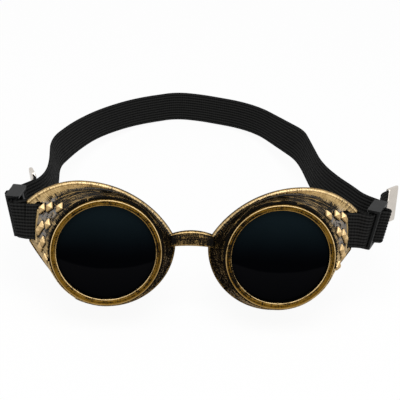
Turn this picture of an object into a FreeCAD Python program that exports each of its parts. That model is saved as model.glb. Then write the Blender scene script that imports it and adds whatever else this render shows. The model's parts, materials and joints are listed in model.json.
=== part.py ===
import FreeCAD, Part
import math
import os
from FreeCAD import Placement, Rotation, Vector

os.makedirs("parts", exist_ok=True)

# Steampunk goggles: two cat-eye cups joined by a nose bridge, screw-on bezels that hold dark lenses,
# diamond studs, and one elastic strap folded round a bar in each cup and gripped by two sliders.
# All lengths are in millimetres and all angles in degrees.
# The cups are drawn with the lens axis along -Y, and the strap in a plane of its own that rises towards the
# back. The whole is then tilted back until the cups' rims and the back of the strap rest on the ground.

# Lenses and bezels, as radii about the lens axis and depths behind the bezel's front edge
opening_radius = 25.0
lens_overlap = 0.7
lens_side_gap = 0.2
lens_thickness = 2.0
lens_bevel = 0.3
bezel_width = 3.0
bezel_crest = 0.8
bezel_band_drop = 0.45
bezel_depth = 2.4
bezel_lip = 2.9
skirt_wall = 0.8
skirt_length = 4.6
seat_gap = 0.1
socket_clearance = 0.3

# Eye cups: walls, and an outline at the rear rim given by angles about the lens axis and flares out from
# the collar
collar_wall = 2.4
cup_depth = 22.0
cup_wall = 2.6
socket_floor = 1.6
seat_ring_wall = 1.5
seat_ring_step = 0.2
cavity_step = 1.0
brow_start = (172.4, 4.1)
brow_crown = (65.7, 4.6)
wing_tip = (26.1, 15.8)
wing_heel = (-2.6, 10.6)
cheek_angle = -64.0
nose_angle = 182.0
rim_flare = 6.1
rim_drop = 1.6
wing_bulge = 0.5
cheek_bow = 1.2
nose_bulge = 0.3
bead_radius = 1.7
bead_inset = 0.6

# Strap window in each wing, and the upright strip of wall that the strap goes round
strap_width = 19.0
strap_thickness = 1.3
strap_side_gap = 0.5
bar_radius = 2.0
bar_gap = 0.3
bar_out = 7.2
bar_inset = 2.8
strip_inset = 0.3
window_drop = 9.1
window_ahead = 0.7

# Nose bridge
nose_gap = 17.0
bridge_height = 6.0
bridge_bottom = -2.6
bridge_arch = 1.6
bridge_depth = 6.5
bridge_peg_radius = 1.5
bridge_peg_length = 4.0
peg_clearance = 0.05

# Studs: angles about the lens axis and distances out from the collar, row by row down the wing
stud_places = (
    ((42.1, 2.4), (34.8, 5.8), (29.3, 8.2)),
    ((23.6, 2.6), (17.7, 4.8), (12.8, 5.5)),
    ((6.0, 2.4), (-1.2, 3.7), (-9.4, 1.1)),
)
stud_long = 5.0
stud_wide = 4.0
stud_height = 1.5
stud_edge = 0.4
stud_table = 0.35
stud_peg_radius = 0.8
stud_peg_length = 1.4
stud_seat_gap = 0.05

# Strap: rise of its plane towards the back, gap between its layers, and bends of its middle line
strap_rise = 6.0
layer_gap = 0.3
fold_radius = 2.6
inner_fold_radius = 0.9
bend_radius = 1.6
tail_radius = 8.0
loop_radius = 300.0
bend_share = 0.49
bulge_height = 3.2
bulge_top = 2.5
bulge_radius = 1.2

# Route of the strap's middle line on each side, drawn as a right side. The turn of the doubled strap into
# the slider is measured out from the wing's tip and back from its strip. The points of the free tail, and
# the points of the loop round the back of the head, each with the lean of the top edge outwards and
# backwards, are measured out and back from the end of the slider's run. The heading of the doubled strap is
# its angle from straight back.
side_routes = {
    "left": {
        "turn": (6.3, -0.8), "heading": -10.0, "lean": 3.9,
        "tail": ((-3.9, 8.7), (-1.7, 22.7)), "tail_lean": 3.0,
        "loop": (
            ((-7.6, 10.3), (4.3, 0.0)),
            ((-10.0, 18.2), (4.3, 0.0)),
            ((-11.3, 27.7), (4.4, 0.0)),
            ((-11.5, 40.7), (4.6, 0.0)),
            ((-10.3, 66.7), (5.0, -1.5)),
            ((-11.7, 78.7), (4.0, 1.5)),
            ((-20.2, 103.2), (2.9, 0.8)),
            ((-33.3, 128.7), (0.3, 0.0)),
            ((-55.8, 154.2), (0.0, 0.0)),
            ((-84.3, 170.7), (0.0, 0.0)),
        ),
    },
    "right": {
        "turn": (4.9, -4.4), "heading": 26.0, "lean": 3.0,
        "tail": ((6.1, 13.0), (15.5, 18.3)), "tail_lean": 0.0,
        "loop": (
            ((-9.2, 7.5), (4.2, 0.0)),
            ((-13.8, 19.9), (4.3, 0.0)),
            ((-18.3, 30.0), (4.3, 0.0)),
            ((-23.2, 45.0), (4.2, 0.0)),
            ((-25.3, 59.0), (3.8, 0.0)),
            ((-26.7, 91.0), (3.8, 0.0)),
            ((-28.1, 107.3), (5.0, 1.0)),
            ((-52.4, 158.0), (0.0, 0.0)),
            ((-86.7, 174.0), (0.0, 0.0)),
        ),
    },
}

# Sliders and strap tips
slider_length = 16.0
slider_travel = 2.5
slider_bar = 3.0
slider_bar_thickness = 1.8
slider_gap = 0.3
slider_rail = 1.4
slider_round = 0.7
tip_length = 7.0
tip_plate = 0.5
tip_gap = 0.1
tip_grip = 6.0

across = Vector(1, 0, 0)
lens_axis = Vector(0, 1, 0)
lens_radius = opening_radius + lens_overlap
inner_skirt = lens_radius + lens_side_gap
skirt_radius = inner_skirt + skirt_wall
bezel_radius = opening_radius + bezel_width
socket_radius = skirt_radius + socket_clearance
collar_radius = socket_radius + collar_wall
cavity_radius = opening_radius + cavity_step
rim_radius = collar_radius + rim_flare
half_spacing = rim_radius + nose_gap / 2
strap_half = strap_width / 2
collar_front = bezel_depth + seat_gap
socket_back = bezel_depth + skirt_length + socket_clearance
lens_front = bezel_lip + seat_gap
lens_back = lens_front + lens_thickness
cavity_front = socket_back + socket_floor
layer_step = strap_thickness + layer_gap
wrap_radius = bar_radius + bar_gap + strap_thickness / 2
bar_place = (collar_radius + bar_out, cup_depth - bar_inset)
bar_across = half_spacing + bar_place[0]
seat_ring_radius = lens_radius - seat_ring_step
bridge_reach = half_spacing - rim_radius + bridge_peg_length
upright_lean = (0, strap_width * math.tan(math.radians(strap_rise)))


def direction(point):
    """Unit vector along a vector of two coordinates."""
    length = math.hypot(point[0], point[1])
    return (point[0] / length, point[1] / length)


def at_radius(point, radius):
    """The point at a radius from the lens axis, in the direction of another point."""
    unit = direction(point)
    return (unit[0] * radius, unit[1] * radius)


def polar(angle, radius, drop=0.0):
    """Point on a circle about the lens axis, lowered by a drop."""
    turn = math.radians(angle)
    return (radius * math.cos(turn), radius * math.sin(turn) - drop)


def off_collar(place):
    """Point at an angle about the lens axis and a distance out from the collar."""
    return polar(place[0], collar_radius + place[1])


def middle(first, second, bulge):
    """Midpoint of two points, pushed out from the lens axis by a bulge."""
    point = ((first[0] + second[0]) / 2, (first[1] + second[1]) / 2)
    return at_radius(point, math.hypot(*point) + bulge)


start_point = off_collar(brow_start)
crown_point = off_collar(brow_crown)
tip_point = off_collar(wing_tip)
heel_point = off_collar(wing_heel)
window_middle = tip_point[1] - window_drop
wing_clear = half_spacing + tip_point[0] + strap_side_gap


def brow_radius(end):
    """Radius of the arc that leaves the crown level and reaches a brow end."""
    run = end[0] - crown_point[0]
    fall = crown_point[1] - end[1]
    return (run * run + fall * fall) / (2 * fall)


def brow_angle(end):
    """Angle that the brow's arc turns between the crown and a brow end, signed by its side."""
    return math.degrees(math.asin((end[0] - crown_point[0]) / brow_radius(end)))


def brow_middle(end):
    """Point halfway along the brow's arc."""
    radius = brow_radius(end)
    turn = math.radians(brow_angle(end) / 2)
    centre = crown_point[1] - radius
    return (crown_point[0] + radius * math.sin(turn), centre + radius * math.cos(turn))


def rim_outline():
    """The cup's outline at its rear rim, as six arcs of three points each, clockwise from the nose."""
    cheek = polar(cheek_angle, rim_radius, rim_drop)
    nose = polar(nose_angle, rim_radius, rim_drop)
    round_middle = polar((cheek_angle + nose_angle - 360) / 2, rim_radius, rim_drop)
    return [
        (start_point, brow_middle(start_point), crown_point),
        (crown_point, brow_middle(tip_point), tip_point),
        (tip_point, middle(tip_point, heel_point, wing_bulge), heel_point),
        (heel_point, middle(heel_point, cheek, cheek_bow), cheek),
        (cheek, round_middle, nose),
        (nose, middle(nose, start_point, nose_bulge), start_point),
    ]


def cup_section(depth, share, front_radius, inset):
    """Closed wire at a depth, from the front circle (share 0) to the rim drawn in by an inset (share 1)."""
    edges = []
    for arc in rim_outline():
        points = []
        for rim_point in arc:
            front = at_radius(rim_point, front_radius)
            rear = at_radius(rim_point, math.hypot(*rim_point) - inset)
            x = front[0] + (rear[0] - front[0]) * share
            z = front[1] + (rear[1] - front[1]) * share
            points.append(Vector(x, depth, z))
        edges.append(Part.Arc(*points).toShape())
    return Part.Wire(edges)


def cup_loft(front, rear, front_radius, inset):
    """Solid with straight sides from the front circle to the rim, run on or cut short at the rear depth."""
    share = (rear - front) / (cup_depth - front)
    sections = [cup_section(front, 0, front_radius, inset), cup_section(rear, share, front_radius, inset)]
    return Part.makeLoft(sections, True, True)


def disc(radius, front, rear):
    """Cylinder on the lens axis between two depths."""
    return Part.makeCylinder(radius, rear - front, Vector(0, front, 0), lens_axis)


def brow_bead():
    """Rolled bead along the brow, round in section, with round ends."""
    depth = cup_depth - bead_radius
    top = Vector(crown_point[0], depth, crown_point[1] - bead_inset)
    ring = Part.Wire([Part.Circle(top, across, bead_radius).toShape()])
    solids = []
    for end in (start_point, tip_point):
        centre = Vector(crown_point[0], depth, crown_point[1] - brow_radius(end))
        solids.append(Part.Face(ring).revolve(centre, lens_axis, brow_angle(end)))
        turned = Rotation(lens_axis, brow_angle(end)).multVec(top - centre)
        solids.append(Part.makeSphere(bead_radius, centre + turned))
    return solids


def window_cut():
    """Opening in the wing that lets the strap out, from ahead of the front layer to behind the rim."""
    height = strap_width + 2 * strap_side_gap
    front = bar_place[1] - wrap_radius - strap_thickness / 2 - window_ahead
    inner = bar_place[0] - wrap_radius - strap_thickness - bar_gap
    size = (rim_radius, cup_depth, height)
    return Part.makeBox(*size, Vector(inner, front, window_middle - height / 2))


def wing_strip():
    """Long upright strip for the strap to go round, with a round inner edge, that ends inside the wing."""
    height = 4 * cup_depth
    out = tip_point[0] - strip_inset - bar_place[0]
    base = Vector(bar_place[0], bar_place[1], -height / 2)
    rod = Part.makeCylinder(bar_radius, height, base)
    return rod.fuse(Part.makeBox(out, 2 * bar_radius, height, base - Vector(0, bar_radius, 0)))


def cup_blank():
    """The cup as a filled body with its brow bead."""
    outer = cup_loft(collar_front, cup_depth, collar_radius, 0)
    return outer, outer.fuse(brow_bead())


def eyecup(blank, holes):
    """Right cup: the blank hollowed for the face, bored for bezel and lens, and windowed for the strap."""
    socket = disc(socket_radius, -cup_depth, socket_back)
    socket = socket.cut(disc(seat_ring_radius, lens_back + seat_gap, socket_back))
    bore = disc(seat_ring_radius - seat_ring_wall, -cup_depth, cup_depth)
    cavity = cup_loft(cavity_front, cup_depth + bead_radius, cavity_radius, cup_wall)
    open_parts = [part.cut(wing_strip()) for part in (cavity, window_cut())]
    return blank.cut([socket, bore] + open_parts + holes)


def turned_ring(profile):
    """Solid of revolution about the lens axis from a closed list of edges in radius and depth."""
    face = Part.Face(Part.Wire(profile))
    return face.revolve(Vector(0, 0, 0), lens_axis, 360)


def polyline(points):
    """Straight edges through points of radius and depth."""
    corners = [Vector(radius, depth, 0) for radius, depth in points]
    return [Part.makeLine(first, second) for first, second in zip(corners, corners[1:])]


def bezel():
    """Screw-on ring: sunk band between a crest and the opening, lip over the lens, skirt into the cup."""
    crest_start = (bezel_radius - bezel_crest, bezel_band_drop)
    crest_end = (bezel_radius, bezel_crest / 2)
    crest_top = (bezel_radius - bezel_crest / 2, 0)
    crest = Part.Arc(Vector(*crest_start, 0), Vector(*crest_top, 0), Vector(*crest_end, 0))
    edge = bezel_band_drop + bezel_crest / 2
    around = polyline([
        crest_end,
        (bezel_radius, bezel_depth),
        (skirt_radius, bezel_depth),
        (skirt_radius, bezel_depth + skirt_length),
        (inner_skirt, bezel_depth + skirt_length),
        (inner_skirt, bezel_lip),
        (opening_radius, bezel_lip),
        (opening_radius, edge),
        (opening_radius + bezel_crest / 2, bezel_band_drop),
        crest_start,
    ])
    return turned_ring([crest.toShape()] + around)


def lens():
    """Flat round lens with bevelled edges."""
    blank = disc(lens_radius, lens_front, lens_back)
    rims = [edge for edge in blank.Edges if edge.isClosed() and edge.Length > lens_radius]
    return blank.makeChamfer(lens_bevel, rims)


def wall_placement(outer, place):
    """Placement on the cup's wall at a point seen from the front, with the outward normal up."""
    line = Part.makeLine(Vector(place[0], -cup_depth, place[1]), Vector(place[0], cup_depth, place[1]))
    point = min(outer.common(line).Vertexes, key=lambda vertex: vertex.Y).Point
    face = min(outer.Faces, key=lambda one: one.distToShape(Part.Vertex(point))[0])
    outward = face.normalAt(*face.Surface.parameter(point))
    if outward.y > 0:
        outward = outward * -1
    upward = Vector(0, 0, 1) - outward * outward.z
    return Placement(point, Rotation(upward, outward.cross(upward), outward, "ZXY"))


def diamond(share, height):
    """Diamond outline of a stud, scaled by a share, at a height over the wall."""
    half_long = stud_long / 2 * share
    half_wide = stud_wide / 2 * share
    corners = [(half_long, 0), (0, half_wide), (-half_long, 0), (0, -half_wide), (half_long, 0)]
    return Part.makePolygon([Vector(x, y, height) for x, y in corners])


def stud():
    """Pyramid stud with a short upright edge, a small flat top and a peg."""
    base = stud_seat_gap
    edge = Part.makeLoft([diamond(1, base), diamond(1, base + stud_edge)], True, True)
    top = Part.makeLoft([diamond(1, base + stud_edge), diamond(stud_table / 2, stud_height)], True, True)
    peg = Part.makeCylinder(stud_peg_radius, stud_peg_length + base, Vector(0, 0, -stud_peg_length))
    return edge.fuse([top, peg]).removeSplitter()


def stud_hole():
    """Hole in the wall for a stud's peg."""
    depth = stud_peg_length + peg_clearance
    return Part.makeCylinder(stud_peg_radius + peg_clearance, 2 * depth, Vector(0, 0, -depth))


def placed(shape, placement):
    """Copy of a shape moved by a placement."""
    copy = shape.copy()
    copy.Placement = placement.multiply(copy.Placement)
    return copy


def bridge_pegs(clearance):
    """Round pegs that join the bridge to the cups, or with a clearance the holes for them."""
    reach = bridge_reach + clearance
    base = Vector(-reach, cup_depth - bridge_depth / 2, bridge_bottom + bridge_height / 2)
    return Part.makeCylinder(bridge_peg_radius + clearance, 2 * reach, base, across)


def nose_bridge(cups):
    """Arched bar with a bead on top, ended where it meets the cups, with a peg into each."""
    half = half_spacing - rim_radius + 2 * bridge_peg_length
    front = cup_depth - bridge_depth
    top = bridge_bottom + bridge_height
    corners = [Vector(side * half, front, height) for side, height in
               ((-1, bridge_bottom), (1, bridge_bottom), (1, top), (-1, top))]
    below = Part.Arc(corners[0], Vector(0, front, bridge_bottom + bridge_arch), corners[1]).toShape()
    above = Part.Arc(corners[2], Vector(0, front, top + bridge_arch), corners[3]).toShape()
    sides = [Part.makeLine(corners[1], corners[2]), Part.makeLine(corners[3], corners[0])]
    face = Part.Face(Part.Wire([below, sides[0], above, sides[1]]))
    bar = face.extrude(Vector(0, bridge_depth, 0))
    radius = (half * half + bridge_arch * bridge_arch) / (2 * bridge_arch)
    crown = Vector(0, cup_depth - bead_radius, top + bridge_arch - bead_inset)
    centre = Vector(0, crown.y, top + bridge_arch - radius)
    sweep = math.degrees(math.asin(half / radius))
    start = Rotation(lens_axis, -sweep)
    ring = Part.Circle(centre + start.multVec(crown - centre), start.multVec(across), bead_radius).toShape()
    bead = Part.Face(Part.Wire([ring])).revolve(centre, lens_axis, 2 * sweep)
    return bar.fuse(bead).cut(cups).fuse(bridge_pegs(0))


def both_sides(right_shape):
    """Right piece moved to its lens axis, and its mirror image on the left."""
    right = placed(right_shape, Placement(across * half_spacing, Rotation()))
    return {"right": right, "left": right.mirror(Vector(0, 0, 0), across)}


def outward_normal(run):
    """Unit vector square to a run of the strap in plan, on the outer side of the loop."""
    unit = direction(run)
    return (unit[1], -unit[0])


def minus(first, second):
    """Difference of two points in plan."""
    return (first[0] - second[0], first[1] - second[1])


def along(point, vector, amount):
    """Point moved along a vector in plan."""
    return (point[0] + vector[0] * amount, point[1] + vector[1] * amount)


def mitre(first, second):
    """Vector whose share along both unit normals is one."""
    total = 1 + first[0] * second[0] + first[1] * second[1]
    return ((first[0] + second[0]) / total, (first[1] + second[1]) / total)


def scaled(vector, amount):
    """Vector in plan times an amount."""
    return (vector[0] * amount, vector[1] * amount)


def dot(first, second):
    """Share of one vector in plan along another."""
    return first[0] * second[0] + first[1] * second[1]


def bend_reach(before, after, radius):
    """Distance from a corner to the ends of the arc of a radius that joins two runs."""
    first, second = direction(before), direction(after)
    cross = first[0] * second[1] - first[1] * second[0]
    return radius * math.tan(math.atan2(abs(cross), dot(first, second)) / 2)


def doubled_strap(side):
    """The doubled stretch that the slider runs on: turn, heading, outer normal, lean, corners and ends."""
    route = side_routes[side]
    turn = along((wing_clear, 0), route["turn"], 1)
    angle = math.radians(route["heading"])
    heading = (math.sin(angle), math.cos(angle))
    normal = outward_normal(heading)
    lean = scaled(normal, route["lean"])
    fold = scaled(mitre((0, -1), normal), layer_step / 2)
    corners = {"front": along(turn, fold, 1), "rear": along(turn, fold, -1)}
    starts = []
    layers = (("front", -wrap_radius, fold_radius), ("rear", wrap_radius, inner_fold_radius))
    for layer, depth, radius in layers:
        for half in (-0.5, 0.5):
            exit_place = along((wing_clear, depth), upright_lean, half)
            reach = bend_reach(minus(along(corners[layer], lean, half), exit_place), heading, radius)
            starts.append(reach + dot(minus(corners[layer], turn), heading))
    start = max(starts) + slider_gap
    end = start + slider_length + slider_travel + bend_radius
    return {"turn": turn, "heading": heading, "normal": normal, "lean": lean, "corners": corners,
            "start": start, "end": end, "end_place": along(turn, heading, end)}


def past_slider(side, place):
    """Point in plan from a distance out and back from the end of the slider's run."""
    return along(doubled_strap(side)["end_place"], place, 1)


def free_tail(side):
    """Start and end of the free tail in plan."""
    return [past_slider(side, place) for place in side_routes[side]["tail"]]


def side_route(side):
    """Route of one side of the strap, drawn as a right side, from the tail's end to the middle of the back.

    Each entry is a place in plan, the lean of the strap's top edge, and the radius of the bend there.
    Between the slider's outer bars the outer layer bulges out.
    """
    route = side_routes[side]
    double = doubled_strap(side)
    tail = free_tail(side)
    tail_lean = scaled(outward_normal(minus(tail[1], tail[0])), route["tail_lean"])
    inner = bar_across - wrap_radius
    bulge_start = double["start"] + slider_bar + slider_travel + slider_gap
    bulge_end = double["start"] + slider_length - slider_bar - slider_gap
    bulge_ramp = (bulge_end - bulge_start - bulge_top) / 2

    def on_double(run, out):
        return along(along(double["turn"], double["heading"], run), double["normal"], out)

    half = layer_step / 2
    places = [
        (tail[1], tail_lean, 0),
        (tail[0], tail_lean, tail_radius),
        (on_double(double["end"], half), double["lean"], bend_radius),
        (on_double(bulge_end, half), double["lean"], bulge_radius),
        (on_double(bulge_end - bulge_ramp, half + bulge_height), double["lean"], bulge_radius),
        (on_double(bulge_start + bulge_ramp, half + bulge_height), double["lean"], bulge_radius),
        (on_double(bulge_start, half), double["lean"], bulge_radius),
        (double["corners"]["front"], double["lean"], fold_radius),
        ((wing_clear, -wrap_radius), upright_lean, bend_radius),
        ((inner, -wrap_radius), upright_lean, wrap_radius),
        ((inner, wrap_radius), upright_lean, wrap_radius),
        ((wing_clear, wrap_radius), upright_lean, bend_radius),
        (double["corners"]["rear"], double["lean"], inner_fold_radius),
        (on_double(double["end"], -half), double["lean"], bend_radius),
    ]
    return places + [(past_slider(side, place), lean, loop_radius) for place, lean in route["loop"]]


def strap_route():
    """The whole route, from the left tail round the back to the right tail."""
    left = []
    for place, lean, radius in side_route("left"):
        left.append(((-place[0], place[1]), (-lean[0], lean[1]), radius))
    return left + side_route("right")[::-1]


def ribbon_wire(places, radii, height):
    """Closed outline of the ribbon in plan: straight runs and tangent arcs, half a thickness either side."""
    runs = [minus(second, first) for first, second in zip(places, places[1:])]
    units = [direction(run) for run in runs]
    half = strap_thickness / 2

    def lifted(point):
        return Vector(point[0], point[1], height)

    def border(side):
        start = along(places[0], (-units[0][1], units[0][0]), half * side)
        edges = []
        for index in range(1, len(places) - 1):
            before, after = units[index - 1], units[index]
            shortest = min(math.hypot(*runs[index - 1]), math.hypot(*runs[index]))
            per_radius = bend_reach(before, after, 1)
            reach = min(radii[index] * per_radius, bend_share * shortest)
            hand = math.copysign(1, before[0] * after[1] - before[1] * after[0])
            first = along(places[index], before, -reach)
            centre = along(first, (-before[1], before[0]), reach / per_radius * hand)
            offset = reach / per_radius - hand * side * half
            points = []
            for target in (first, places[index], along(places[index], after, reach)):
                points.append(lifted(along(centre, direction(minus(target, centre)), offset)))
            edges.append(Part.makeLine(lifted(start), points[0]))
            edges.append(Part.Arc(*points).toShape())
            start = (points[2].x, points[2].y)
        last = along(places[-1], (-units[-1][1], units[-1][0]), half * side)
        edges.append(Part.makeLine(lifted(start), lifted(last)))
        return edges

    right, left = border(-1), border(1)
    caps = []
    for end in (0, -1):
        ends = [edges[end].Vertexes[end].Point for edges in (right, left)]
        caps.append(Part.makeLine(*ends))
    return Part.Wire(right + [caps[1]] + left[::-1] + [caps[0]])


def strap():
    """Webbing between its lower and upper outlines, each place shifted by half its lean."""
    route = strap_route()
    radii = [radius for place, lean, radius in route]
    wires = []
    for half in (-0.5, 0.5):
        places = [along(place, lean, half) for place, lean, radius in route]
        wires.append(ribbon_wire(places, radii, half * strap_width))
    return Part.makeLoft(wires, True, True)


def rounded_bar(length, thickness, base, run, radius):
    """Bar of rounded rectangular section about a base point, drawn out along a run."""
    spots = []
    for quarter, corner in enumerate(((1, -1), (1, 1), (-1, 1), (-1, -1))):
        centre = base + Vector(corner[0] * (length / 2 - radius), corner[1] * (thickness / 2 - radius), 0)
        for angle in (-90, -45, 0):
            turn = math.radians(angle + 90 * quarter)
            spots.append(centre + Vector(math.cos(turn), math.sin(turn), 0) * radius)
    edges = []
    for start in range(0, len(spots), 3):
        edges.append(Part.Arc(*spots[start:start + 3]).toShape())
        edges.append(Part.makeLine(spots[start + 2], spots[(start + 3) % len(spots)]))
    return Part.Face(Part.Wire(edges)).extrude(run)


def slider(lean):
    """Three-bar slider about the doubled strap: outer bars at the ends, inner bar between, and two rails.

    The bars lean with the strap, and the rails lie level along its edges.
    """
    offset = layer_step / 2 + strap_thickness / 2 + slider_gap + slider_bar_thickness / 2
    inside = strap_half + slider_gap
    height = inside + slider_rail
    depth = 2 * offset + slider_bar_thickness
    slope = -lean / strap_width
    solids = []
    for level in (-height, inside):
        base = Vector(0, slope * (level + slider_rail / 2), level)
        solids.append(rounded_bar(slider_length, depth, base, Vector(0, 0, slider_rail), 2 * slider_round))
    ends = (slider_length - slider_bar) / 2
    run = Vector(0, slope, 1) * (2 * height)
    for place, side in ((-ends, -1), (ends, -1), (0, 1)):
        base = Vector(place, side * offset - slope * height, -height)
        solids.append(rounded_bar(slider_bar, slider_bar_thickness, base, run, slider_round))
    return solids[0].fuse(solids[1:]).removeSplitter()


def strap_tip():
    """Folded metal end with a slot that the end of the strap sits in."""
    thickness = strap_thickness + 2 * (tip_gap + tip_plate)
    height = strap_width + 2 * tip_plate
    base = Vector(tip_length / 2 - tip_grip, 0, -height / 2)
    plate = rounded_bar(tip_length, thickness, base, Vector(0, 0, height), tip_plate)
    slot = Part.makeBox(2 * tip_grip + tip_gap, strap_thickness + 2 * tip_gap, 2 * height)
    slot.translate(Vector(-2 * tip_grip, -strap_thickness / 2 - tip_gap, -height))
    return plate.cut(slot)


def on_strap(place, heading, lean):
    """Placement on the strap of a right side: first axis along the heading, leaning outwards at the top."""
    tip_over = Rotation(Vector(1, 0, 0), math.degrees(math.atan2(lean, strap_width)))
    turn = Rotation(Vector(0, 0, 1), math.degrees(math.atan2(heading[1], heading[0])))
    return Placement(Vector(*place, 0), turn.multiply(tip_over))


nodes = {}
travel = {}

outer, blank = cup_blank()
stud_placements = [wall_placement(outer, off_collar(place)) for row in stud_places for place in row]
peg_holes = placed(bridge_pegs(peg_clearance), Placement(across * -half_spacing, Rotation()))
holes = [placed(stud_hole(), placement) for placement in stud_placements] + [peg_holes]
blanks = both_sides(blank)
studs = Part.makeCompound([placed(stud(), placement) for placement in stud_placements])
pieces = {"eyecup": eyecup(blank, holes), "bezel": bezel(), "lens": lens(), "studs": studs}
for name, piece in pieces.items():
    for side, shape in both_sides(piece).items():
        nodes[side + "_" + name] = shape
nodes["nose_bridge"] = nose_bridge([blanks["left"], blanks["right"]])

# The strap and what sits on it, moved from the strap's own plane to the cups
strap_plane = Placement(Vector(0, bar_place[1], window_middle), Rotation(across, strap_rise))
nodes["strap"] = placed(strap(), strap_plane)
for side, route in side_routes.items():
    double = doubled_strap(side)
    place = along(double["turn"], double["heading"], double["start"] + slider_length / 2)
    on_double = on_strap(place, double["heading"], 0)
    tail = free_tail(side)
    on_tail = on_strap(tail[1], minus(tail[1], tail[0]), route["tail_lean"])
    on_side = {
        "slider": placed(slider(route["lean"]), on_double),
        "strap_tip": placed(strap_tip(), on_tail),
    }
    travel[side] = Vector(*double["heading"], 0)
    for name, shape in on_side.items():
        if side == "left":
            shape = shape.mirror(Vector(0, 0, 0), across)
        nodes[side + "_" + name] = placed(shape, strap_plane)
    if side == "left":
        travel[side].x = -travel[side].x

# Tilt back until the cups' rims and the lower edge of the strap's back rest on the same ground
rise = math.radians(strap_rise)
back = max(place[1] for place, lean, radius in strap_route())
strap_low = (bar_place[1] + back * math.cos(rise) + strap_half * math.sin(rise),
             window_middle + back * math.sin(rise) - strap_half * math.cos(rise))
cup_low = (cup_depth, -rim_radius - rim_drop)
tilt = math.degrees(math.atan2(strap_low[1] - cup_low[1], strap_low[0] - cup_low[0]))
lean_back = Placement(Vector(0, 0, 0), Rotation(across, -tilt))
nodes = {name: placed(shape, lean_back) for name, shape in nodes.items()}

# Origin on the ground under the middle of the whole object
box = Part.makeCompound(list(nodes.values())).optimalBoundingBox(False, False)
middle_ground = Placement(Vector(-box.Center.x, -box.Center.y, -box.ZMin), Rotation())
nodes = {name: placed(shape, middle_ground) for name, shape in nodes.items()}

for name, shape in nodes.items():
    solids = shape.Solids
    print(name, len(solids), "solids", all(solid.isValid() for solid in solids), round(shape.Volume), "mm3")
    shape.exportStep("parts/" + name + ".step")

# Places and directions of the joints and mounts
whole = middle_ground.multiply(lean_back)
print("tilt", round(tilt, 3), "box", [round(value, 2) for value in (box.XLength, box.YLength, box.ZLength)])
for side, sign in (("left", -1), ("right", 1)):
    centre = whole.multVec(Vector(sign * half_spacing, 0, 0))
    mouth = whole.multVec(Vector(sign * half_spacing, (bezel_band_drop + bezel_lip) / 2, 0))
    slide = whole.Rotation.multiply(strap_plane.Rotation).multVec(travel[side])
    print(side, "lens", centre, "mouth", mouth, "slide", slide)
print("lens axis", whole.Rotation.multVec(lens_axis * -1))
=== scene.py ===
import itertools
import json
import math
from collections import namedtuple

import bpy
import numpy as np
from bpy.props import FloatProperty, FloatVectorProperty, IntProperty, PointerProperty
from mathutils import Matrix, Vector


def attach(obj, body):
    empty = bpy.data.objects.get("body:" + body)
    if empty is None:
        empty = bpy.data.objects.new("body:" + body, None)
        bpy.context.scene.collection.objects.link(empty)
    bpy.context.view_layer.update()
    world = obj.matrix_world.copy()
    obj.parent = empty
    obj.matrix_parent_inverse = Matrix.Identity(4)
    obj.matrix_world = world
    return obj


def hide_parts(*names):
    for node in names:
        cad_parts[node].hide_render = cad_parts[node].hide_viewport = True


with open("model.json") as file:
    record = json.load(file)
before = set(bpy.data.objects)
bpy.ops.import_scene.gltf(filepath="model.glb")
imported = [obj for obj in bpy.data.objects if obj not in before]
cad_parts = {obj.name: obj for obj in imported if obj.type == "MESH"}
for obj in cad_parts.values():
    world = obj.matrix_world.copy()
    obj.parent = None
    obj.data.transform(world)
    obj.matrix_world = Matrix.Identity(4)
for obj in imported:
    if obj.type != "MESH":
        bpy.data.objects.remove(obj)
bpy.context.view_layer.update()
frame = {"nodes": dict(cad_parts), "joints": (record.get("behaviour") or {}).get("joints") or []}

bl_info = {
    "name": "Cat-eye goggles",
    "version": (1, 0, 0),
    "blender": (4, 5, 0),
    "location": "View3D > Sidebar > Goggles",
    "description": "Dresses a pair of antique gold cat-eye goggles with a ribbed elastic strap",
    "category": "Object",
}

joints = {joint["name"]: joint for joint in frame["joints"]}
sides = {"left": -1, "right": 1}
lens_centres = {side: np.array(joints[side + "_bezel_turn"]["pos_m"]) for side in sides}
lens_middle = (lens_centres["left"] + lens_centres["right"]) / 2
half_spacing = float(lens_centres["right"][0] - lens_middle[0])
across = np.array([1.0, 0.0, 0.0])
back = -np.array(joints["left_bezel_turn"]["axis"], float)
up = np.cross(across, back)
MM = 0.001

# Fineness of the grids and of the rounded edges
RIM_SPACING = 0.6 * MM
ARC_SAMPLES = 6
NORMAL_KERNEL = 13
WALL_COLUMNS = 40
BEAD_COLUMNS = 18
HOLLOW_COLUMNS = 12
CREST_COLUMNS = 21
LIP_COLUMNS = 11
RING_ROWS = 360
BRIDGE_ROWS = 61
STRAP_STEP = 4 * MM
STRAP_SAMPLES = 3
BEND_STEP = 7
BEND_SAMPLES = 7
RIB_COLUMNS = 7
TIP_COLUMNS = 64
TIP_ROWS = 12
TIP_FOLD_ROWS = 9
SHADE_BATCHES = 24
WELD = 0.01 * MM
BEVEL_SEGMENTS = 4
SHARP_EDGE = math.radians(20)

# The photograph's frame in pixels and the camera's sensor in millimetres
PICTURE = 400
PICTURE_FOCAL = 1100.0
SENSOR = 36.0
CLIP = (0.01, 20.0)


def length(name, default, description):
    """A size in millimetres on the page, kept in metres."""
    return FloatProperty(name=name, description=description, default=default * MM, unit="LENGTH", precision=5)


def angle(name, default, description):
    """An angle in degrees on the page, kept in radians."""
    return FloatProperty(name=name, description=description, default=math.radians(default), unit="ROTATION")


def share(name, default, description):
    """A number from 0 to 1."""
    return FloatProperty(name=name, description=description, default=default, subtype="FACTOR",
                         min=0.0, max=1.0)


def power(name, default, description):
    """The power of a lamp in watts."""
    return FloatProperty(name=name, description=description, default=default, unit="POWER")


def lamp_place(name, default, description):
    """A place in the row frame, in metres."""
    return FloatVectorProperty(name=name, description=description, default=default, size=3,
                               subtype="TRANSLATION")


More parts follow.
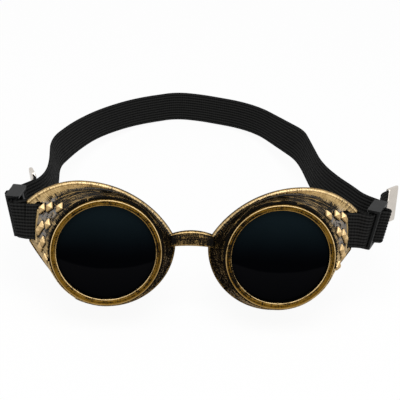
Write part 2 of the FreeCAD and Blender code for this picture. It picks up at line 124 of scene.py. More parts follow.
def colour(name, default, description):
    """A linear colour."""
    return FloatVectorProperty(name=name, description=description, default=default, size=3, subtype="COLOR",
                               min=0.0, max=1.0)


def spot(name, degrees, flare, description):
    """An angle about the lens axis and a distance out from the collar."""
    return FloatVectorProperty(name=name, description=description, size=2, precision=5,
                               default=(math.radians(degrees), flare * MM))


class CupSizes(bpy.types.PropertyGroup):
    """Sizes of the eye cups: radii about the lens axis and depths behind the bezel's front edge."""

    collar_radius: length("Collar radius", 29.4, "Outside of the round collar that holds the bezel")
    collar_front: length("Collar front", 2.5, "Depth of the collar's front face")
    collar_round: length("Collar rounding", 0.5, "Rounding of the collar's front edge")
    socket_radius: length("Socket radius", 27.0, "Inside of the collar")
    socket_back: length("Socket depth", 7.3, "Depth of the floor of the bezel's groove")
    seat_radius: length("Seat radius", 25.5, "Outside of the ring that the lens lies on")
    seat_front: length("Seat depth", 5.1, "Depth of the ring that the lens lies on")
    bore_radius: length("Bore radius", 24.0, "Opening behind the lens")
    cavity_radius: length("Cavity radius", 26.0, "Narrow end of the hollow for the eye")
    cavity_front: length("Cavity front", 8.9, "Depth where the hollow for the eye begins")
    cup_depth: length("Cup depth", 22.0, "Depth of the rear rim")
    cup_wall: length("Wall", 2.6, "Thickness of the cup's wall at the rim")
    edge_round: length("Edge rounding", 0.12, "Rounding of the turned edges inside the cup")
    valley: length("Valley", 0.7, "How far the wall sinks between collar and brow bead")
    brow_start: spot("Brow start", 172.4, 4.1, "Where the brow begins at the nose")
    brow_crown: spot("Brow crown", 65.7, 4.6, "Highest point of the brow")
    wing_tip: spot("Wing tip", 26.1, 15.8, "Outer end of the brow")
    wing_heel: spot("Wing heel", -2.6, 10.6, "Lower end of the wing")
    cheek_angle: angle("Cheek angle", -64.0, "Where the cheek meets the round lower rim")
    nose_angle: angle("Nose angle", 182.0, "Where the round lower rim ends at the nose")
    rim_flare: length("Rim flare", 6.1, "How far the round lower rim stands out from the collar")
    rim_drop: length("Rim drop", 1.6, "How far the round lower rim is lowered")
    wing_bulge: length("Wing bulge", 0.5, "Outward bow of the wing's end")
    cheek_bow: length("Cheek bow", 1.2, "Outward bow of the cheek")
    nose_bulge: length("Nose bulge", 0.3, "Outward bow above the nose")
    bead_radius: length("Bead radius", 1.7, "Half the thickness of the brow bead")
    bead_rise: length("Bead rise", 0.7, "How far the bead stands out from the rim")
    bead_start: angle("Bead start", -100.0, "Turn at which the wall runs into the bead")
    bead_taper: length("Bead taper", 3.5, "Length over which the bead dies out at its ends")
    rim_round: length("Rim rounding", 0.8, "Rounding of the rim where it has no bead")
    rim_land: share("Rim land", 0.12, "Share of the wall's thickness that its inner rear edge takes")
    stud_shade: length("Stud shade", 1.15, "Width of the dark border round the studs")
    stud_swell: length("Stud swell", 0.35, "How far the studs are pushed out")
    stud_round: length("Stud rounding", 0.9, "Rounding of the studs' edges")
    slot_inner: length("Slot inside", 32.5, "Where the strap slots begin, out from the lens axis")
    slot_height: length("Slot height", 20.0, "Height of the strap slots")
    slot_middle: length("Slot middle", 10.785, "Height of the middle of the slots over the lens axis")
    slot_front: length("Slot front", 14.9, "Depth where the front slot begins")
    slot_wear: length("Slot wear", 1.2, "Width of the worn edge in front of the slots")
    strip_front: length("Strip front", 17.2, "Depth of the front of the strip between the slots")
    strip_rear: length("Strip rear", 21.2, "Depth of the rear of the strip between the slots")


class BezelSizes(bpy.types.PropertyGroup):
    """Sizes of the screw-on rings."""

    opening_radius: length("Opening radius", 25.0, "Inside of the ring")
    bezel_radius: length("Outside radius", 28.0, "Outside of the ring")
    crest: length("Crest", 0.8, "Width of the raised outer edge")
    crest_gap: length("Crest gap", 0.15, "Width of the step from the crest to the band")
    band_drop: length("Band drop", 0.45, "How far the band lies behind the crest")
    band_fall: length("Band fall", 0.05, "How much deeper the band lies at its inside")
    lip_bead: length("Lip bead", 0.22, "Half the thickness of the bead round the opening")
    bezel_depth: length("Depth", 2.4, "Depth of the ring's rear face")
    bezel_lip: length("Lip", 2.9, "Depth of the lip over the lens")
    edge_round: length("Edge rounding", 0.2, "Rounding of the ring's rear edge")
    skirt_radius: length("Skirt radius", 26.7, "Outside of the skirt that screws into the cup")
    inner_skirt: length("Skirt inside", 25.9, "Inside of the skirt")
    skirt_end: length("Skirt end", 7.0, "Depth of the skirt's rear end")


class BridgeSizes(bpy.types.PropertyGroup):
    """Sizes of the arched bar between the cups."""

    front: length("Front", 15.5, "Depth of the front face")
    rear: length("Rear", 22.0, "Depth of the rear face")
    height: length("Height", 6.0, "Height of the bar")
    bottom: length("Bottom", -2.0, "Height of the bar's lower edge over the lens axes")
    arch: length("Arch", 1.6, "Rise of the bar's middle")
    arch_half: length("Arch half", 16.5, "Half the span over which the bar rises")
    half_length: length("Half length", 11.0, "Half the bar's length, with its ends inside the cups")
    edge_round: length("Edge rounding", 0.8, "Rounding of the bar's edges")
    end_taper: share("End taper", 0.2, "Share of its height that the bar loses at its ends")
    bead_radius: length("Bead radius", 1.7, "Half the thickness of the bead on top")
    bead_inset: length("Bead inset", 0.6, "Depth of the bead's middle under the bar's top")


class StrapSizes(bpy.types.PropertyGroup):
    """Sizes of the elastic strap."""

    width: length("Width", 19.0, "Width of the webbing")
    thickness: length("Thickness", 1.3, "Thickness of the webbing")
    rise: angle("Rise", 6.0, "Rise of the strap's plane towards the back")
    strip_depth: length("Strip depth", 19.2, "Depth of the middle of the strip that the strap goes round")
    strip_out: length("Strip out", 36.6, "Distance of the strip's middle out from the lens axis")
    wrap_radius: length("Wrap radius", 2.95, "Radius of the strap's middle line round the strip")
    wing_out: length("Wing out", 41.09, "Distance out from the lens axis where the layers close up")
    layer_step: length("Layer step", 1.6, "Distance between the middles of two layers")
    fold_radius: length("Fold radius", 2.6, "Bend of the outer layer into the slider")
    inner_fold_radius: length("Inner fold radius", 0.9, "Bend of the inner layer into the slider")
    bend_radius: length("Bend radius", 1.6, "Other tight bends")
    tail_radius: length("Tail radius", 8.0, "Bend of the free tail")
    loop_radius: length("Loop radius", 300.0, "Largest bend of the loop")
    bulge_top: length("Bulge top", 2.5, "Length of the bulge's flat top")
    bulge_radius: length("Bulge radius", 1.2, "Bends of the bulge")
    slider_length: length("Slider length", 16.0, "Length of the slider along the strap")
    slider_bar: length("Slider bar", 3.0, "Width of the slider's bars")
    slider_travel: length("Slider travel", 2.5, "How far the slider runs")
    slider_gap: length("Slider gap", 0.3, "Clearance of the slider")
    slider_round: length("Slider rounding", 0.4, "Rounding of the slider's edges")
    tip_length: length("Tip length", 9.0, "Length of the metal ends")
    tip_grip: length("Tip grip", 6.8, "Length of strap inside each metal end")
    tip_plate: length("Tip plate", 0.6, "Thickness of the metal, with its play on the strap")
    rib_depth: length("Rib depth", 0.3, "Depth of the grooves between the ribs")
    ribs: IntProperty(name="Ribs", description="Lengthwise ribs of the webbing", default=11, min=3, max=40)


class Finishes(bpy.types.PropertyGroup):
    """Colours of the goggles."""

    deep_gold: colour("Deep gold", (0.148, 0.074, 0.005), "Gold paint in the shade of the mouldings")
    # Bright gold serves for worn gold and for painted highlights
    bright_gold: colour("Bright gold", (0.86, 0.63, 0.31), "Gold paint worn bright")
    # Painted highlight colour of the studs' upper facets
    stud_gold: colour("Stud gold", (0.92, 0.66, 0.34), "Brightest gold, on the studs")
    moulding: colour("Black moulding", (0.0045, 0.0038, 0.003), "Bare black plastic under the paint")
    # Painted reflection: a grey that stands for light mirrored by the glossy black plastic in the stud field
    reflection_grey: colour("Bare grey", (0.17, 0.17, 0.175), "Scuffed plastic around the studs")
    # Lens top and lens bottom are painted reflections on the glossy lenses
    lens_top_reflection: colour("Lens top", (0.0050, 0.0098, 0.0125), "Upper part of the lenses")
    lens_dark: colour("Lens middle", (0.0001, 0.0002, 0.0006), "Darkest part of the lenses")
    lens_low_reflection: colour("Lens bottom", (0.0024, 0.0024, 0.0029), "Lower part of the lenses")
    webbing: colour("Webbing", (0.018, 0.018, 0.0175), "Black elastic yarn")
    webbing_groove: colour("Webbing grooves", (0.002, 0.002, 0.002), "Shade between the ribs")
    slider_black: colour("Slider", (0.005, 0.0053, 0.0053), "Satin black plastic")
    nickel: colour("Nickel", (0.66, 0.61, 0.55), "Nickel plate of the strap tips")
    floor_matt: colour("Floor", (0.9, 0.9, 0.9), "Pale floor where it takes the object's shadow")
    white: colour("White", (1.0, 1.0, 1.0), "Background and floor as the camera sees them")


class StageSettings(bpy.types.PropertyGroup):
    """Camera, floor and light."""

    focal_length: FloatProperty(name="Focal length", description="Lens of the camera", unit="CAMERA",
                                default=PICTURE_FOCAL * SENSOR / PICTURE)
    distance: length("Distance", 552.2, "From the middle of the lenses to the camera")
    elevation: angle("Elevation", 17.05, "Height of the camera over the lens axes")
    turn: angle("Turn", 4.0, "Turn of the camera to the object's left")
    roll: angle("Roll", 2.85, "Roll of the camera")
    shift_across: FloatProperty(name="Shift across", default=-3.3 / PICTURE_FOCAL,
                                description="Place of the lenses' middle beside the picture's")
    shift_down: FloatProperty(name="Shift down", default=56.2 / PICTURE_FOCAL,
                              description="Place of the lenses' middle under the picture's")
    floor_size: length("Floor size", 8000.0, "Half the width of the floor")
    floor_glow: share("Floor glow", 0.93, "How much of the floor's white hides its shadows")
    ambient: FloatProperty(name="Ambient light", description="Light from all round", default=0.45)
    key_power: power("Overhead light", 5.0, "Power of the soft light above")
    key_size: length("Overhead size", 600.0, "Width of the soft light above")
    key_place: lamp_place("Overhead place", (0.0, -0.25, 0.85), "Place of the soft light above")
    key_target: lamp_place("Overhead target", (0.0, -0.05, 0.0), "Where the soft light above points")
    fill_power: power("Front light", 1.2, "Power of the soft light in front")
    fill_size: length("Front size", 500.0, "Width of the soft light in front")
    fill_place: lamp_place("Front place", (0.25, -0.8, 0.45), "Place of the soft light in front")
    fill_target: lamp_place("Front target", (0.0, -0.1, 0.03), "Where the soft light in front points")


class GoggleSettings(bpy.types.PropertyGroup):
    """All sizes, colours and settings."""

    cup: PointerProperty(type=CupSizes)
    bezel: PointerProperty(type=BezelSizes)
    bridge: PointerProperty(type=BridgeSizes)
    strap: PointerProperty(type=StrapSizes)
    finish: PointerProperty(type=Finishes)
    stage: PointerProperty(type=StageSettings)


# Route of the strap in millimetres, drawn as right sides: the doubled stretch turns off out from the wing's
# tip and back from its strip, and tail and loop are measured from the end of the slider's run
side_routes = {
    "left": {
        "turn": (6.3, -0.8), "heading": -10.0, "lean": 3.9, "bulge": 5.2,
        "tail": ((-5.6, 9.6), (-2.0, 22.4)), "tail_lean": 3.0,
        "loop": (
            ((-7.6, 10.3), (4.3, 0.0)),
            ((-10.0, 18.2), (4.3, 0.0)),
            ((-11.3, 27.7), (4.4, 0.0)),
            ((-11.5, 40.7), (4.6, 0.0)),
            ((-10.3, 66.7), (5.0, -1.5)),
            ((-11.7, 78.7), (4.0, 1.5)),
            ((-20.2, 103.2), (2.9, 0.8)),
            ((-33.3, 128.7), (0.3, 0.0)),
            ((-55.8, 154.2), (0.0, 0.0)),
            ((-84.3, 170.7), (0.0, 0.0)),
        ),
    },
    "right": {
        "turn": (4.9, -4.4), "heading": 26.0, "lean": 3.0, "bulge": 6.4,
        "tail": ((2.4, 9.6), (12.1, 18.3)), "tail_lean": 0.0,
        "loop": (
            ((-9.2, 7.5), (4.2, 0.0)),
            ((-13.8, 19.9), (4.3, 0.0)),
            ((-18.3, 30.0), (4.3, 0.0)),
            ((-23.2, 45.0), (4.2, 0.0)),
            ((-25.3, 59.0), (3.8, 0.0)),
            ((-26.7, 91.0), (3.8, 0.0)),
            ((-28.1, 107.3), (5.0, 1.0)),
            ((-52.4, 158.0), (0.0, 0.0)),
            ((-86.7, 174.0), (0.0, 0.0)),
        ),
    },
}

# Spans of the rim in degrees about the lens axis, each with its first and last degree and its soft flank
WING_SPAN = (14, 60, 14)
VALLEY_SPAN = (40, 165, 25)
GROOVE_SPAN = (60, 150, 20)
rim_stretches = {
    "brow": ((76, 165, 10),),
    "crown": ((44, 76, 10),),
    "studs": ((2, 44, 8),),
    "cheek": ((-66, 2, 8),),
    "below": ((-126, -66, 12),),
    "nose": ((-165, -126, 12), (165, 200, 8)),
}


# Points and grids
def to_world(points):
    """Points across, back and up from the middle of the lenses, as points of the row frame."""
    return lens_middle + points @ np.stack([across, back, up])


def beside_lens(points, sign):
    """Points about a right lens axis, moved out to it, and mirrored for the left side, in the row frame."""
    return to_world((points + np.array([half_spacing, 0, 0])) * np.array([sign, 1, 1]))


def smooth(values, low, high):
    """Smooth step: 0 below low, 1 above high, and 3t squared minus 2t cubed between."""
    t = np.clip((values - low) / (high - low), 0, 1)
    return t * t * (3 - 2 * t)


def window(values, low, high, soft):
    """1 between low and high, with smooth flanks of a soft width outside."""
    return smooth(values, low - soft, low) * (1 - smooth(values, high, high + soft))


def unit(vector):
    """A vector divided by its length."""
    return vector / np.linalg.norm(vector)


def rays_at(turn):
    """Unit vectors in a plane, as the cosine and sine of each turn."""
    return np.stack([np.cos(turn), np.sin(turn)], -1)


def arc(centre, radius, turn):
    """Points on a circle: the centre plus the radius times the ray of each turn in degrees."""
    return np.array(centre) + radius * rays_at(np.radians(turn))


def running_length(line, closed):
    """Distance along a line from its first point, and round to that point again where the line is closed."""
    if closed:
        line = np.concatenate([line, line[:1]])
    steps = np.linalg.norm(np.diff(line, axis=0), axis=1)
    return np.concatenate([[0], np.cumsum(steps)])


def signed_volume(points, faces):
    """Volume inside faces: a third of the sum of each face's mean corner times its area.

    The area is a vector, half the sum of the cross products of neighbouring corners.
    """
    corners = points[faces]
    area = np.cross(corners, np.roll(corners, -1, axis=1)).sum(1) / 2
    return (corners.mean(1) * area).sum() / 3


def made_mesh(name, points, faces):
    """A mesh from an array of points and a list of faces."""
    mesh = bpy.data.meshes.new(name)
    mesh.from_pydata(points.tolist(), [], faces)
    return mesh


def added(name, data):
    """An object for a mesh, a lamp or a camera, linked into the scene."""
    item = bpy.data.objects.new(name, data)
    bpy.context.scene.collection.objects.link(item)
    return item


def grid_piece(name, points, closed, map_rows, map_columns, attributes):
    """A mesh object from a grid of points in the row frame, whose rows are closed profiles.

    The first and last row are joined if the grid is closed, and capped if it isn't. The map called strokes
    takes each corner's place along the rows and columns, so a joined grid has no smear. Faces are turned
    outwards by the sign of the volume.
    """
    rows, columns = points.shape[:2]
    flat = points.reshape(-1, 3)
    cells = np.meshgrid(np.arange(rows if closed else rows - 1), np.arange(columns), indexing="ij")
    row, column = [numbers.ravel() for numbers in cells]
    corner_rows = np.stack([row, row + 1, row + 1, row], -1)
    corner_columns = np.stack([column, column, column + 1, column + 1], -1)
    faces = corner_rows % rows * columns + corner_columns % columns
    ends = np.stack([np.arange(columns), rows * columns - 1 - np.arange(columns)])
    caps = ends[:0] if closed else ends
    if signed_volume(flat, faces) + signed_volume(flat, caps) < 0:
        turned = [corners[:, ::-1] for corners in (faces, caps, corner_rows, corner_columns)]
        faces, caps, corner_rows, corner_columns = turned
    mesh = made_mesh(name, flat, faces.tolist() + caps.tolist())
    uv = np.zeros((len(mesh.loops), 2), np.float32)
    uv[:faces.size] = np.stack([map_rows[corner_rows.ravel()], map_columns[corner_columns.ravel()]], -1)
    mesh.uv_layers.new(name="strokes").data.foreach_set("uv", uv.ravel())
    for key, values in attributes.items():
        layer = mesh.attributes.new(key, "FLOAT", "POINT")
        spread = np.broadcast_to(values, (rows, columns))
        layer.data.foreach_set("value", np.ascontiguousarray(spread, np.float32).ravel())
    mesh.polygons.foreach_set("use_smooth", np.ones(len(mesh.polygons), bool))
    mesh.validate()
    mesh.update()
    return added(name, mesh)


def paint(piece, material):
    """Gives a piece or a CAD node a finish in place of its own."""
    piece.data.materials.clear()
    piece.data.materials.append(material)


def dress(piece, body, node, material):
    """Puts a new piece on its body in place of a CAD node, with a finish."""
    paint(piece, material)
    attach(piece, body)
    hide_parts(node)


def soften(piece, swell, rounding):
    """Modifiers that join a CAD node's split corners, push its skin out by a swell and round its edges."""
    piece.modifiers.new("joined", "WELD").merge_threshold = WELD
    if swell:
        push = piece.modifiers.new("swell", "DISPLACE")
        push.strength = swell
        push.mid_level = 0.0
    edges = piece.modifiers.new("rounding", "BEVEL")
    edges.width = rounding
    edges.segments = BEVEL_SEGMENTS
    edges.angle_limit = SHARP_EDGE


# Shader arithmetic
class Shade:
    """One output in a node tree. Arithmetic on it adds Math nodes, and node adds a node of any other type."""

    def __init__(self, tree, socket=None):
        self.tree = tree
        self.socket = socket

    def node(self, kind, settings=None, inputs=None, output=0):
        """Adds a node: its settings first, then the values or links of its sockets."""
        made = self.tree.nodes.new(kind)
        for key, value in (settings or {}).items():
            setattr(made, key, value)
        for key, value in (inputs or {}).items():
            self.join(made.inputs[key], value)
        return Shade(self.tree, made.outputs[output])

    def join(self, socket, value):
        """Links a shade to a socket, or sets the socket's value, with a full alpha if it lacks one."""
        if isinstance(value, Shade):
            self.tree.links.new(value.socket, socket)
        elif hasattr(value, "__len__") and len(socket.default_value) > len(value):
            socket.default_value = (*value, 1.0)
        else:
            socket.default_value = value

    def math(self, operation, first, second=0.0):
        """Adds a Math node on two values."""
        return self.node("ShaderNodeMath", {"operation": operation}, {0: first, 1: second})

    def __add__(self, other):
        return self.math("ADD", self, other)

    def __sub__(self, other):
        return self.math("SUBTRACT", self, other)

    def __rsub__(self, other):
        return self.math("SUBTRACT", other, self)

    def __mul__(self, other):
        return self.math("MULTIPLY", self, other)

    def __abs__(self):
        return self.math("ABSOLUTE", self)

    __radd__ = __add__
    __rmul__ = __mul__

    def swing(self, amount):
        """This value's swing about one half, times an amount."""
        return (self - 0.5) * amount

    def step(self, low, high):
        """Smooth step of this value between two bounds."""
        return self.node("ShaderNodeMapRange", {"interpolation_type": "SMOOTHSTEP"},
                         {"Value": self, "From Min": low, "From Max": high, "To Min": 0.0, "To Max": 1.0})

    def span(self, low, high):
        """This value from 0 to 1 carried to a span from low to high."""
        return self.node("ShaderNodeMapRange", {}, {"Value": self, "To Min": low, "To Max": high})

    def blend(self, first, second):
        """Colour that goes from the first to the second with this value."""
        return self.node("ShaderNodeMix", {"data_type": "RGBA"}, {0: self, 6: first, 7: second}, 2)


class Finish:
    """A material with one principled shader, and the patterns that its surface draws on."""

    def __init__(self, name, **sockets):
        self.material = bpy.data.materials.new(name)
        self.material.use_nodes = True
        self.shade = Shade(self.material.node_tree)
        self.principled = self.material.node_tree.nodes["Principled BSDF"]
        self.set(**sockets)

    def set(self, **sockets):
        """Sets or links sockets of the shader, with underscores for the spaces in their names."""
        for key, value in sockets.items():
            self.shade.join(self.principled.inputs[key.replace("_", " ")], value)

    def place(self):
        """Place on the piece, in metres."""
        return self.shade.node("ShaderNodeTexCoord", output="Object")

    def stretched(self, vector, *scale):
        """A place stretched along its three ways."""
        return self.shade.node("ShaderNodeMapping", {}, {"Vector": vector, "Scale": scale})

    def strokes(self, along, over):
        """Place on the piece's own map, stretched along its two ways."""
        return self.stretched(self.shade.node("ShaderNodeUVMap", {"uv_map": "strokes"}), along, over, 1.0)

    def along(self, vector, direction):
        """How far a vector goes in a direction: their dot product."""
        return self.shade.node("ShaderNodeVectorMath", {"operation": "DOT_PRODUCT"},
                               {0: vector, 1: tuple(direction)}, "Value")

    def attribute(self, name):
        """A value stored on the piece's points."""
        return self.shade.node("ShaderNodeAttribute", {"attribute_name": name}, output="Fac")

    def noise(self, place, scale=1.0, detail=3.0, rough=0.6):
        """Cloudy noise with a scale in cells for each unit of the place."""
        return self.shade.node("ShaderNodeTexNoise", {},
                               {"Vector": place, "Scale": scale, "Detail": detail, "Roughness": rough})

    def relief(self, height, strength, distance):
        """Bump from a height."""
        bump = {"Height": height, "Strength": strength, "Distance": distance}
        self.set(Normal=self.shade.node("ShaderNodeBump", {}, bump))


# Finishes
PAINT_EDGE = (0.44, 0.56)
PAINT_ROUGHNESS = (0.26, 0.40)
PAINT_RELIEF = 0.12 * MM


def gold_paint(skin, cover, ground, gold, marks, strength=0.35, grain=0.0):
    """Gold paint over a ground where cover is high: part metallic, rougher and a little raised.

    Marks are added to its height and grain to its roughness.
    """
    painted = cover.step(*PAINT_EDGE)
    skin.set(Base_Color=painted.blend(ground, gold), Metallic=painted * 0.35)
    skin.set(Roughness=painted.span(*PAINT_ROUGHNESS) + grain)
    skin.relief(painted * 0.6 + marks, strength, PAINT_RELIEF)


def gilded(name, finish, strength=0.35):
    """Black moulding dry-brushed with gold.

    Coverage is the piece's own gilt value, broken up by speckle and by brush strokes along and across it.
    The paint goes from deep to bright gold with the piece's polish_and_highlight value, where paint is worn
    bright or a highlight is painted, and a painted grey reflection on the glossy black plastic shows where
    grey_reflection is high.
    """
    skin = Finish(name, Specular_IOR_Level=0.0, Coat_Roughness=0.1)
    place = skin.place()
    speckle = skin.noise(place, scale=1900.0, detail=5.0, rough=0.8)
    fleck = skin.noise(place, scale=4600.0, detail=2.0)
    cloud = skin.noise(place, scale=260.0)
    hatch = skin.noise(skin.strokes(2600.0, 210.0), detail=2.0)
    sweep = skin.noise(skin.strokes(90.0, 1300.0), detail=2.0)
    swept = skin.attribute("swept")
    stroke = hatch.swing(1.0 - swept) + sweep.swing(swept * 1.6)
    cover = skin.attribute("gilt") + speckle.swing(1.1 - swept * 0.5) + stroke * 1.1
    cover = cover + fleck.swing(0.5) + cloud.swing(0.4)
    # Brighter gold where the paint is worn and where highlights are painted
    shine = skin.attribute("polish_and_highlight") * (1.0 + stroke * 2.4 + cloud.swing(1.4) + speckle.swing(1.2))
    # Painted reflection: grey where the glossy black plastic would mirror the light
    reflection_share = (skin.attribute("grey_reflection") + cloud.swing(1.8) + fleck.swing(0.4)).step(0.48, 0.62)
    gold = shine.blend(finish.deep_gold, finish.bright_gold)
    ground = reflection_share.blend(finish.moulding, finish.reflection_grey)
    gold_paint(skin, cover, ground, gold, stroke * 0.4 + fleck * 0.3, strength, fleck.swing(0.12))
    skin.set(Coat_Weight=skin.attribute("gloss"))
    return skin.material


def gilded_studs(finish):
    """Gold of the studs: coverage and shine rise where the surface faces up, broken up by speckle."""
    skin = Finish("gilded_stud", Specular_IOR_Level=0.0, Coat_Weight=0.1, Coat_Roughness=0.16)
    place = skin.place()
    speckle = skin.noise(place, scale=1300.0, detail=5.0, rough=0.8)
    fleck = skin.noise(place, scale=3600.0, detail=2.0)
    # Painted light: upper facets get more gold and a painted highlight, lower ones painted shade
    painted_top_light = skin.along(skin.shade.node("ShaderNodeNewGeometry", output="Normal"), up).step(0.1, 0.8)
    cover = 0.90 + painted_top_light * 0.35 + speckle.swing(1.2) + fleck.swing(0.6)
    shine = (0.45 + painted_top_light * 0.4 + speckle.swing(0.6)).step(0.0, 1.0)
    gold = shine.blend(finish.deep_gold, finish.stud_gold)
    gold_paint(skin, cover, finish.moulding, gold, fleck * 0.3)
    return skin.material


def dark_lens(finish, radius):
    """Near-black glossy lens, a little lighter and bluer towards its top, with a soft bowed border low down.

    The lighter, bluer top and the lighter part below the border are painted reflections. Height and place
    beside the lens axis are shares of the lens's radius, and the border is a parabola.
    """
    skin = Finish("dark_lens", Specular_IOR_Level=0.01)
    place = skin.place()
    height = (skin.along(place, up) - float(lens_middle @ up)) * (1 / radius)
    beside = (abs(skin.along(place, across) - float(lens_middle @ across)) - half_spacing) * (1 / radius)
    haze = skin.noise(place, scale=60.0, detail=2.0, rough=0.5)
    top = (height + haze.swing(0.15)).step(-0.2, 1.05)
    border = (beside * beside * 0.2 - height - haze.swing(0.05)).step(0.34, 0.39)
    upper = top.blend(finish.lens_dark, finish.lens_top_reflection)
    low = border * (height + 1.1).span(0.25, 1.0)
    skin.set(Base_Color=low.blend(upper, finish.lens_low_reflection), Roughness=haze.span(0.03, 0.07))
    return skin.material


def ribbed_webbing(finish):
    """Black elastic: dark in the mesh's grooves, with cross threads and a dull fuzz."""
    skin = Finish("ribbed_webbing", Specular_IOR_Level=0.05)
    thread = skin.noise(skin.strokes(1500.0, 420.0), detail=2.0)
    bands = {"Vector": skin.strokes(1.0, 1.0), "Scale": 210.0, "Distortion": 0.6, "Detail": 1.0}
    pick = skin.shade.node("ShaderNodeTexWave", {"wave_type": "BANDS", "bands_direction": "X"}, bands)
    fuzz = skin.noise(skin.place(), scale=2400.0, rough=0.7)
    # Painted shade: darker in the grooves between the ribs
    shade = (skin.attribute("groove") * 0.9 + fuzz.swing(0.5) + pick.swing(0.35)).step(0.0, 1.0)
    skin.set(Base_Color=shade.blend(finish.webbing, finish.webbing_groove), Roughness=fuzz.span(0.62, 0.9))
    skin.relief(pick * 0.5 + thread * 0.5 + fuzz * 0.4, 0.5, 0.2 * MM)
    return skin.material


def satin_plastic(finish):
    """Satin black plastic with a fine moulded grain."""
    skin = Finish("slider_plastic", Specular_IOR_Level=0.12)
    grain = skin.noise(skin.place(), scale=2600.0, detail=2.0)
    cloud = skin.noise(skin.place(), scale=180.0, detail=2.0, rough=0.5)
    skin.set(Base_Color=cloud.blend(finish.slider_black * 0.6, finish.slider_black * 1.3),
             Roughness=grain.span(0.34, 0.5))
    skin.relief(grain, 0.12, 0.1 * MM)
    return skin.material


def nickel_plate(finish):
    """Nickel plate with fine upright scratches and a little tarnish."""
    skin = Finish("nickel_plate", Metallic=1.0)
    place = skin.place()
    scratches = skin.noise(skin.stretched(place, 4000.0, 4000.0, 120.0))
    tarnish = skin.noise(place, scale=320.0)
    skin.set(Base_Color=tarnish.blend(finish.nickel * 0.82, finish.nickel),
             Roughness=scratches.span(0.2, 0.42))
    skin.relief(scratches, 0.1, 0.05 * MM)
    return skin.material


# Outline of the eye cups
Rim = namedtuple("Rim", "rays plan normal run degrees shares wing bead bead_radius bead_plan")


def bearing(point):
    """Angle of a plan point about the origin."""
    return math.atan2(point[1], point[0])


def polar(turn, radius, drop=0.0):
    """Point on a circle about the lens axis, lowered by a drop."""
    return np.array([radius * math.cos(turn), radius * math.sin(turn) - drop])


def bowed_middle(first, second, bulge):
    """Midpoint of two points, pushed out from the lens axis by a bulge."""
    point = (first + second) / 2
    return point * (1 + bulge / np.linalg.norm(point))


def circle_through(first, second, third):
    """Centre of the circle through three points: the meeting of two perpendicular bisectors."""
    rows = 2 * np.array([second - first, third - first])
    return np.linalg.solve(rows, np.array([second @ second - first @ first, third @ third - first @ first]))


def rim_arcs(cup):
    """The rim's outline as six arcs of three points, clockwise from the nose over the brow."""
    start, crown, tip, heel = [polar(place[0], cup.collar_radius + place[1])
                               for place in (cup.brow_start, cup.brow_crown, cup.wing_tip, cup.wing_heel)]
    rim = cup.collar_radius + cup.rim_flare
    cheek = polar(cup.cheek_angle, rim, cup.rim_drop)
    nose = polar(cup.nose_angle, rim, cup.rim_drop)
    below = polar((cup.cheek_angle + cup.nose_angle) / 2 - math.pi, rim, cup.rim_drop)

    def brow_middle(end):
        """Middle of an arc that leaves the crown level: its radius comes from its run and its fall."""
        run, fall = end[0] - crown[0], crown[1] - end[1]
        radius = (run * run + fall * fall) / (2 * fall)
        half = math.asin(run / radius) / 2
        return np.array([crown[0] + radius * math.sin(half), crown[1] - radius + radius * math.cos(half)])

    return [
        (start, brow_middle(start), crown),
        (crown, brow_middle(tip), tip),
        (tip, bowed_middle(tip, heel, cup.wing_bulge), heel),
        (heel, bowed_middle(heel, cheek, cup.cheek_bow), cheek),
        (cheek, below, nose),
        (nose, bowed_middle(nose, start, cup.nose_bulge), start),
    ]


def stretch_shares(degrees):
    """Share of each stretch of the rim in every sample: smooth windows divided by their sum."""
    weights = {name: sum(window(degrees, *span) for span in spans) for name, spans in rim_stretches.items()}
    total = sum(weights.values())
    return {name: weight / total for name, weight in weights.items()}


def smoothed(normals):
    """Normals round a closed line, averaged over their neighbours with the weights of a raised cosine."""
    kernel = np.hanning(NORMAL_KERNEL)[1:-1]
    reach = len(kernel) // 2
    wrapped = np.concatenate([normals[-reach:], normals, normals[:reach]])
    mean = np.stack([np.convolve(wrapped[:, k], kernel / kernel.sum(), "valid") for k in range(2)], -1)
    return mean / np.linalg.norm(mean, axis=1, keepdims=True)


def rim_samples(cup):
    """Samples round the rim, with the rays of the collar beside them and the circles of the brow bead.

    Each arc is run through evenly by its angle about its own centre, and the collar evenly by angle beside
    it. The bead's share is 1 along the brow and dies out by a smooth step past both its ends.
    """
    arcs = rim_arcs(cup)
    collar, plan, normal = [], [], []
    for first, halfway, last in arcs:
        centre = circle_through(first, halfway, last)
        radius = np.linalg.norm(first - centre)
        turns = np.unwrap([bearing(point - centre) for point in (first, halfway, last)])
        count = max(ARC_SAMPLES, int(abs(turns[2] - turns[0]) * radius / RIM_SPACING))
        t = np.arange(count) / count
        rays = rays_at(turns[0] + (turns[2] - turns[0]) * t)
        ends = np.unwrap([bearing(first), bearing(last)])
        collar.append(ends[0] + (ends[1] - ends[0]) * t)
        plan.append(centre + radius * rays)
        normal.append(rays * np.sign((plan[-1] * rays).sum(1, keepdims=True)))
    plan = np.concatenate(plan)
    normal = smoothed(np.concatenate(normal))
    run = running_length(plan, True)
    degrees = np.degrees(np.arctan2(plan[:, 1:], plan[:, :1])) % 360
    degrees = np.where(degrees > 200, degrees - 360, degrees)
    brow_end = run[np.argmin(np.linalg.norm(plan - arcs[1][2], axis=1))]
    past = np.minimum(np.maximum(run[:-1] - brow_end, 0), run[-1] - run[:-1])
    bead = np.where(run[:-1] <= brow_end, 1.0, 1 - smooth(past, 0, cup.bead_taper))
    radius = cup.rim_round + (cup.bead_radius - cup.rim_round) * bead
    middle = plan - normal * (radius - cup.bead_rise * bead)[:, None]
    return Rim(rays_at(np.concatenate(collar)), plan, normal, run, degrees, stretch_shares(degrees),
               window(degrees, *WING_SPAN), bead[:, None], radius[:, None], middle)


# Bands of the eye cups, each a grid with its wear: rows go round the rim and columns along the profile
FACE_GILT = 0.15
INSIDE_GILT = 0.08
LEAD_POWER = 6


